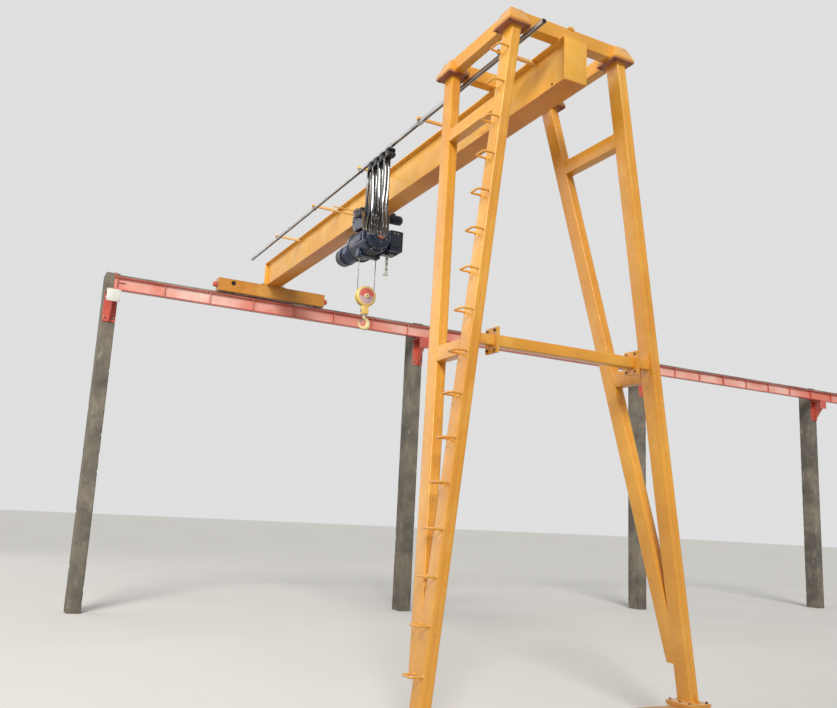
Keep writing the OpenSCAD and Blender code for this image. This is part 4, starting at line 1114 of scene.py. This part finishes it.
# Plain raised panel on the shell's left side, where a name plate would be
p.box((0.004 - DRUM_R, -0.17, -0.035), (0.020 - DRUM_R, -0.03, 0.035))
p.done("hoist", "hoist_drum")

# Gearbox on the drum's near end, with cover bolts, ribs and a plain red cap
p = Piece("gearbox_cover", NAVY, BOLT, BUFFER, at=(0, DRUM_Y0, DRUM_Z))
p.lathe((0, 0, 0), -Y, [(0, 0.163), (0.012, 0.165), (0.030, 0.165), (0.034, 0.158), (0.076, 0.150),
                        (0.088, 0.142), (0.096, 0.120), (0.100, 0.100), (0.101, 0.050), (0.103, 0.048),
                        (0.117, 0.048), (0.1195, 0.044), (0.120, 0.030)], [0] * 9 + [2] * 3, 64)
for c in spokes(12):
    p.bolt(c * 0.157 - Y * 0.032, -Y, 0.011, washer=False)
for c in spokes(6):
    p.box(c * 0.115 - Vector((0.004, 0.090, 0.004)), c * 0.115 + Vector((0.004, -0.026, 0.004)))
    p.bolt(c * 0.086 - Y * 0.0995, -Y, 0.010, washer=False)
p.done("hoist", "hoist_gearbox")

# Hoist motor: flange, finned body, end bell with brake cover
p = Piece("hoist_motor_finned", NAVY, BOLT, BLACK, at=(0, DRUM_Y1, DRUM_Z))
r = MOTOR_R
p.lathe((0, 0, 0), Y, [(0, r - 0.002), (0.004, r), (0.026, r), (0.030, r - 0.014), (0.046, r - 0.018)], n=56)
fins(p, Y * 0.046, Y, 0.330, r - 0.003, 30, 0.012)
p.lathe(Y * 0.376, Y, [(0, r - 0.008), (0.004, r - 0.002), (0.030, r - 0.002), (0.034, r - 0.010),
                       (0.150, r - 0.012), (0.164, r - 0.020), (0.190, r - 0.030), (0.218, r - 0.046),
                       (0.224, r - 0.070)], n=56)
for c in spokes(8):
    p.bolt(c * (r - 0.012) + Y * 0.026, Y, 0.010, washer=False)
for c in spokes(4):
    p.bolt(c * 0.080 + Y * 0.590, Y, 0.010)
for k in range(3):
    p.lathe(Y * (0.440 + 0.026 * k), Y, mirrored([(0, r - 0.0115), (0.004, r - 0.0105)], 0.014), 2, 48)
p.box((-r, 0.140, -0.045), (0.030 - r, 0.260, 0.045), 0.006)
p.done("hoist", "hoist_motor")

# Control box: rounded case, gasketed lid with its screws, glands
lo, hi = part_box("control_box")
p = Piece("control_case", NAVY, BOLT, BLACK)
in_x = DRUM_R - 0.030
p.box((in_x, lo.y, lo.z), (hi.x - 0.020, hi.y, hi.z), 0.010, seg=3)
p.box((hi.x - 0.022, lo.y + 0.003, lo.z + 0.003), (hi.x, hi.y - 0.003, hi.z - 0.003), 0.006, seg=3)
p.box((hi.x - 0.024, lo.y + 0.001, lo.z + 0.001), (hi.x - 0.019, hi.y - 0.001, hi.z - 0.001), 0.001, 2, 1)
for y, z in product((lo.y + 0.020, hi.y - 0.020), (lo.z + 0.022, (lo.z + hi.z) / 2, hi.z - 0.022)):
    p.bolt((hi.x, y, z), X, 0.009)
for k in range(4):
    p.lathe((in_x + 0.030 + 0.034 * k, lo.y + 0.10, lo.z), -Z,
            [(0, 0.013), (0.010, 0.013), (0.011, 0.010), (0.022, 0.009), (0.024, 0.006)], 2, 18)
for x in (in_x + 0.050, in_x + 0.100):
    p.lathe((x, lo.y, lo.z + 0.050), -Y, [(0, 0.012), (0.008, 0.012), (0.009, 0.009), (0.020, 0.008)], 2, 18)
    p.bolt((x, lo.y, hi.z - 0.040), -Y, 0.012)
p.done("hoist", "control_box")

# Limit-switch bar under the control box, with its slots and foot
p = Piece("limit_bar", PALE, BLACK, BOLT, at=(0.187, 3.900, 0))
p.box((-0.019, -0.004, 4.462), (0.019, 0.004, 4.744))
# Three slots, drawn as black patches: painted shade in them
for z in (4.520, 4.590, 4.660):
    p.box((-0.010, -0.0048, z), (0.010, 0.0048, z + 0.020), 0.002, 1)
p.box((-0.045, -0.016, 4.450), (0.022, 0.016, 4.476), 0.003)
p.box((-0.026, -0.012, 4.712), (0.026, 0.012, 4.742), 0.003, 1)
p.bolt((0, -0.012, 4.726), -Y, 0.008, 2)
p.done("hoist")

# Towing arm: two bars from the trolley out to the cable trolley line
p = Piece("tow_arm_bars", CREAM, BOLT, at=(0, HOIST_Y + 0.180, GIRDER_Z + 0.183))
for z in (-0.077, -0.020):
    p.rod((-0.437, 0, z), (-face, 0, z), 0.008, 0, 18)
    p.lathe((-face, 0, z), -X, [(0, 0.014), (0.008, 0.014), (0.010, 0.010)], 1, 20)
p.rod((-0.440, 0, -0.085), (-0.440, 0, -0.012), 0.008, 0, 18)
p.done("hoist", "tow_arm")

# Cable trolleys: wheels in the track, body, saddle and clamp with bright bolts
p = Piece("cable_trolleys", BLACK, BOLT, ZINC, at=(-TRACK_X, 0, 0))
half = CABLE_STEP / 2 + CABLE_W / 2 + 0.004
arc = [math.radians(a) for a in range(0, 181, 10)]
roller = mirrored([(0, 0.004), (0, 0.0085), (0.001, 0.0098)], 0.0085)
for y in TROLLEYS:
    for dy, x in product((-0.024, 0.024), (-0.012, 0.0035)):
        p.lathe((x, y + dy, TRACK_Z + 0.0143), X, roller, 2, 20)
    p.box((-0.003, y - 0.034, TRACK_Z - 0.020), (0.003, y + 0.034, TRACK_Z + 0.020), 0.001, 2)
    p.box((-half - 0.002, y - 0.034, SADDLE_Z + SADDLE_R + CABLE_T + 0.001),
          (half + 0.002, y + 0.034, TRACK_Z - 0.014), 0.003)
    for s in BOTH:
        p.plate([(y - 0.034, TRACK_Z - 0.016), (y - 0.034, SADDLE_Z + 0.020), (y - 0.020, SADDLE_Z),
                 (y + 0.020, SADDLE_Z), (y + 0.034, SADDLE_Z + 0.020), (y + 0.034, TRACK_Z - 0.016)],
                "x", s * half - 0.002, s * half + 0.002, 0.0006)
        for dy in (-0.018, 0.018):
            p.bolt((s * (half + 0.002), y + dy, TRACK_Z - 0.026), X * s, 0.008)
        p.bolt((s * (half + 0.002), y, SADDLE_Z + 0.020), X * s, 0.010, tail=0.005)
    p.plate([(y + SADDLE_R * math.cos(a), SADDLE_Z + SADDLE_R * math.sin(a)) for a in arc],
            "x", 0.002 - half, half - 0.002, 0.002)
    for dy in (-0.036, 0.036):
        p.box((-0.012, y + dy - 0.003, TRACK_Z - 0.030), (0.012, y + dy + 0.006, TRACK_Z - 0.018))
# Junction box on the trolley plate, where the cables go in
p.box((0.208, 3.850, 5.142), (0.2878, 3.990, 5.242), 0.006, seg=3)
p.box((0.203, 3.856, 5.148), (0.209, 3.984, 5.236), 0.003)
for y, z in product((3.866, 3.974), (5.158, 5.226)):
    p.bolt((0.203, y, z), -X, 0.006, washer=False)
p.box((0.2085, 3.834, 5.176), (0.2875, 3.851, 5.208), 0.004)
p.done("hoist", "festoon_trolleys")

# Rope falls: six strands laid round a core, reaching down to the hook block; they ride on no body
lo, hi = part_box("rope_falls")
rise = hi.z - lo.z
for s, word in zip(BOTH, ("left", "right")):
    x = s * FALL_X
    p = Piece("rope_fall_" + word, ROPE, at=(x, HOIST_Y, lo.z))
    p.lathe((0, 0, 0), Z, [(rise * k / 20, 0.0030) for k in range(21)], n=8)
    for j in range(6):
        line = []
        for k in range(71):
            a = 2 * math.pi * (j / 6 + 5 * k / 70)
            line.append((0.0039 * math.cos(a), 0.0039 * math.sin(a), rise * k / 70))
        p.tube(line, 0.0021, 0, 6)
    rope = p.done(None, "rope_falls")
    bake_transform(rope)

# Hook block: two dished covers with a rounded rim, a ring half red and half white, hub, neck
p = Piece("hook_block_covers", BLOCK_YELLOW, RING, RING_WHITE, BOLT, PAINTED_SHADE, HOOK_PAINT,
          at=(0, HOIST_Y, HOOK_Z))
r, ring_r, hub = BLOCK_R, 0.096, 0.031
for d in (-Y, Y):
    p.lathe(d * 0.012, d, [(0, r - 0.005), (0.003, r - 0.001), (0.010, r), (0.020, r - 0.001),
                           (0.029, r - 0.006), (0.035, r - 0.013), (0.038, r - 0.018), (0.038, ring_r + 0.008),
                           (0.036, ring_r + 0.005), (0.031, ring_r + 0.004)], n=72)
    # Thin pale line round the ring, then the ring and the hub
    p.lathe(d * 0.040, d, [(0, ring_r + 0.0045), (0.0052, ring_r + 0.0045), (0.0056, ring_r - 0.001)], 2, 72)
    p.lathe(d * 0.040, d, [(0, ring_r), (0.0062, ring_r), (0.0070, ring_r - 0.002), (0.0066, 0.060),
                           (0.0070, hub)], 1, 72)
    p.lathe(d * 0.040, d, [(0, hub + 0.001), (0.010, hub + 0.001), (0.018, hub - 0.002), (0.023, hub - 0.006),
                           (0.024, hub - 0.012)], 5, 48)
    # Dark dot at the hub's middle: painted shade of its bore
    p.lathe(d * 0.0638, d, [(0, 0.007), (0.0006, 0.006)], 4, 20)
# Dark disc between the two covers: painted shade in the gap
p.lathe(Y * -0.0135, Y, mirrored([(0, r - 0.006), (0.003, r - 0.009)], 0.027), 4, 56)
# Neck with side plates and a cross pin
p.box((-0.042, -0.036, -r - 0.100), (0.042, 0.036, 0.020 - r), 0.012, seg=4)
for s in BOTH:
    p.plate([(-0.030, -r - 0.086), (0.030, -r - 0.086), (0.036, -r - 0.070), (0.036, 0.012 - r),
             (-0.036, 0.012 - r), (-0.036, -r - 0.070)], "y", s * 0.0385 - 0.003, s * 0.0385 + 0.003, 0.001)
    p.lathe((s * 0.042, 0, -r - 0.050), X * s, [(0, 0.020), (0.005, 0.020), (0.007, 0.017)], 3, 28)
p.lathe((0, 0, -r - 0.100), Z, [(0, 0.034), (0.006, 0.036), (0.012, 0.036)])
p.done("hook_block", "hook_block")

# Hook: forged section, thick in the bowl and thin at the point, in steps of x, z and two half widths
p = Piece("forged_hook", HOOK_PAINT, BOLT, at=(0, HOIST_Y, HOOK_Z - BLOCK_R - 0.1003))
bowl, bend = -0.112, 0.062
steps = [(0, -0.002 - 0.012 * k, 0.0165, 0.0165) for k in range(5)]
for turned in range(0, 256, 8):
    t, a = turned / 255, math.radians(75 - turned)
    thick = 0.0165 + 0.0085 * math.sin(math.pi * min(1.0, t * 1.25))
    if t > 0.80:
        thick *= 1 - 0.62 * (t - 0.80) / 0.20
    r = bend - 0.005 * math.sin(math.pi * t)
    steps.append((r * math.cos(a), bowl + r * math.sin(a), thick, thick * (1 + 0.16 * math.sin(math.pi * t))))
# Tip turns out a little
steps += [(-bend - 0.004, bowl + 0.012, 0.0062, 0.0070), (-bend - 0.010, bowl + 0.022, 0.0040, 0.0045)]
rings = []
for (c, d), (_, _, thick, wide) in zip(directed([Vector((x, 0, z)) for x, z, _, _ in steps]), steps):
    inward = d.cross(Y).normalized()
    rings.append([c + inward * (math.cos(a) * wide) + Y * (math.sin(a) * thick * (1 + 0.12 * math.cos(a)))
                  for a in [math.pi * k / 10 for k in range(20)]])
p.loft(rings, smooth=True)
p.lathe((0, 0, -0.016), Z, [(0, 0.024), (0.003, 0.029), (0.013, 0.030), (0.0155, 0.028)], 1)
# Spring latch across the throat
a, b = Vector((0.006, 0, -0.052)), Vector((0.002 - bend, 0, bowl + 0.016))
u = Y.cross((b - a).normalized())
for s in BOTH:
    rings = []
    for t, h in ((0, 0.010), (0.25, 0.009), (0.8, 0.006), (1, 0.004)):
        c = a.lerp(b, t) + Y * (s * 0.011 * (1 - 0.25 * t))
        rings.append([c + u * k + Y * y for k, y in ((h, -0.001), (h, 0.001), (-h, 0.001), (-h, -0.001))])
    p.loft(rings, 1)
p.rod(a - Y * 0.022, a + Y * 0.022, 0.005, 1)
p.done("hook", "hook", sharp=50)

# Floor, world and lamps
floor_mesh = bpy.data.meshes.new("floor")
grid = bmesh.new()
bmesh.ops.create_grid(grid, x_segments=1, y_segments=1, size=150)
grid.to_mesh(floor_mesh)
grid.free()
floor = bpy.data.objects.new("floor", floor_mesh)
floor.location = (5, 4, -0.0015)
bpy.context.scene.collection.objects.link(floor)
g = Graph("floor_pale")
shade = g.mix(g.cloud(0.35, 4, 0.5, 0.35, 0.65, 0, 0.35), (0.78, 0.76, 0.72, 1), (0.84, 0.82, 0.78, 1))
shade = g.mix(g.seen_rays(), (0.50, 0.49, 0.46, 1), shade)
floor_mesh.materials.append(g.finish(shade, 0.75, spec=0.2))

world = bpy.data.worlds.new("studio")
bpy.context.scene.world = world
world.use_nodes = True
studio = Nodes(world.node_tree)
light, seen = [studio.node("Background", {"Color": color, "Strength": strength}).outputs[0]
               for color, strength in (((0.95, 0.97, 1.0, 1), 0.36), ((0.74, 0.74, 0.74, 1), 1.0))]
mixed = studio.node("MixShader", {0: studio.seen_rays(), 1: light, 2: seen})
studio.node("OutputWorld", {0: mixed.outputs[0]})


def lamp(name, toward, energy, color, at=(0, 0, 0), size=None):
    """Lamp shining towards a direction: a sun, or with a size a rectangle that isn't seen by the camera."""
    data = bpy.data.lights.new(name, "AREA" if size else "SUN")
    data.energy = energy
    data.color = color
    if size:
        data.shape = "RECTANGLE"
        data.size, data.size_y = size
    else:
        data.angle = math.radians(18)
    obj = bpy.data.objects.new(name, data)
    obj.location = at
    obj.rotation_mode = "QUATERNION"
    obj.rotation_quaternion = Vector(toward).to_track_quat("-Z", "Y")
    obj.visible_camera = size is None
    bpy.context.scene.collection.objects.link(obj)


lamp("key", (0.42, 0.80, -0.55), 2.25, (1.0, 0.98, 0.94))
lamp("left_wall", (12, -15, -4), 550, (1.0, 0.98, 0.97), (-12, 17, 8), (16, 14))
lamp("left_softbox", (6, 1, -3), 330, (1.0, 0.98, 0.92), (-7, 1, 8.5), (4, 4))

bpy.context.scene.view_settings.view_transform = "Standard"
